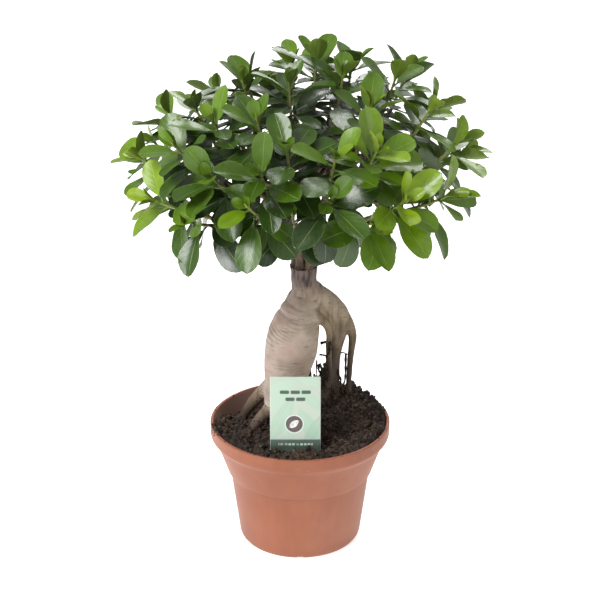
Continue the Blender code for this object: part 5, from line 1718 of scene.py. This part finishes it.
class LeafLook(bpy.types.PropertyGroup):
    """The leaves' colours, from old to young"""
    upper_codes: hex_setting("Upper", "the upper face, in four steps from old to young",
                             "#1E340D #36530E #5A7C0B #91AC12")
    under_codes: hex_setting("Under", "the lower face, in four steps from old to young",
                             "#324420 #465C24 #657B28 #8CA030")
    vein_code: hex_setting("Veins", "the midrib and veins", "#93A95A")
    twig_code: hex_setting("Twigs", "the twigs at their foot", "#5A4632")
    seed: bpy.props.IntProperty(name="Seed", description="Start of the leaves' random folds", default=100)


class LabelLook(bpy.types.PropertyGroup):
    """The printed label"""
    mint_code: hex_setting("Ground", "the card's printed ground", "#B4BEB1")
    ink_code: hex_setting("Ink", "the dashes and the band", "#3C564B")
    badge_code: hex_setting("Badge", "the round badge", "#5A4A4B")
    thickness: number("Thickness", "Thickness of the card", 0.0006, "LENGTH")
    bow: number("Bow", "How far its sides curl back at the top", 0.0010, "LENGTH")


class StageLook(bpy.types.PropertyGroup):
    """The floor, lights and camera"""
    floor_size: number("Floor", "Side of the floor", 14.0, "LENGTH")
    key_power: number("Key", "Power of the key light", 40.0, "POWER")
    fill_power: number("Fill", "Power of the fill light", 4.0, "POWER")
    back_power: number("Back", "Power of the back light", 16.0, "POWER")
    sky_strength: number("Sky", "Brightness of the white surround", 0.42)
    lens: number("Lens", "Focal length", 94.9, "CAMERA")
    pitch: number("Pitch", "How far the camera looks down", math.radians(22.48), unit="ROTATION")
    distance: number("Distance", "From the camera to what it looks at", 1.2, "LENGTH")
    aim_height: number("Aim height", "Height that it looks at", 0.1986, "LENGTH")


class BONSAI_PT_panel(bpy.types.Panel):
    """Lists the bonsai's pieces"""
    bl_label = "Ginseng ficus bonsai"
    bl_space_type = "VIEW_3D"
    bl_region_type = "UI"
    bl_category = "Bonsai"

    def draw(self, context):
        for operator in OPERATORS:
            self.layout.operator(operator.bl_idname)
        for name in SETTINGS:
            group = getattr(context.scene, name)
            box = self.layout.box()
            for key in group.__annotations__:
                box.prop(group, key)


OPERATORS = (BONSAI_OT_stage, BONSAI_OT_pot, BONSAI_OT_compost, BONSAI_OT_rootstock, BONSAI_OT_branches,
             BONSAI_OT_shoots, BONSAI_OT_label)
SETTINGS = {"bonsai_stage": StageLook, "bonsai_pot": PotLook, "bonsai_compost": CompostLook,
            "bonsai_bark": BarkLook, "bonsai_leaf": LeafLook, "bonsai_label": LabelLook}


def register():
    for kind in (*SETTINGS.values(), *OPERATORS, BONSAI_PT_panel):
        bpy.utils.register_class(kind)
    for name, kind in SETTINGS.items():
        setattr(bpy.types.Scene, name, bpy.props.PointerProperty(type=kind))


def unregister():
    for name in SETTINGS:
        delattr(bpy.types.Scene, name)
    for kind in (BONSAI_PT_panel, *OPERATORS[::-1], *tuple(SETTINGS.values())[::-1]):
        bpy.utils.unregister_class(kind)


def main():
    register()
    bpy.ops.bonsai.stage()
    bpy.ops.bonsai.pot()
    bpy.ops.bonsai.compost()
    bpy.ops.bonsai.rootstock()
    bpy.ops.bonsai.branches()
    bpy.ops.bonsai.shoots()
    bpy.ops.bonsai.label()


if __name__ == "__main__":
    main()
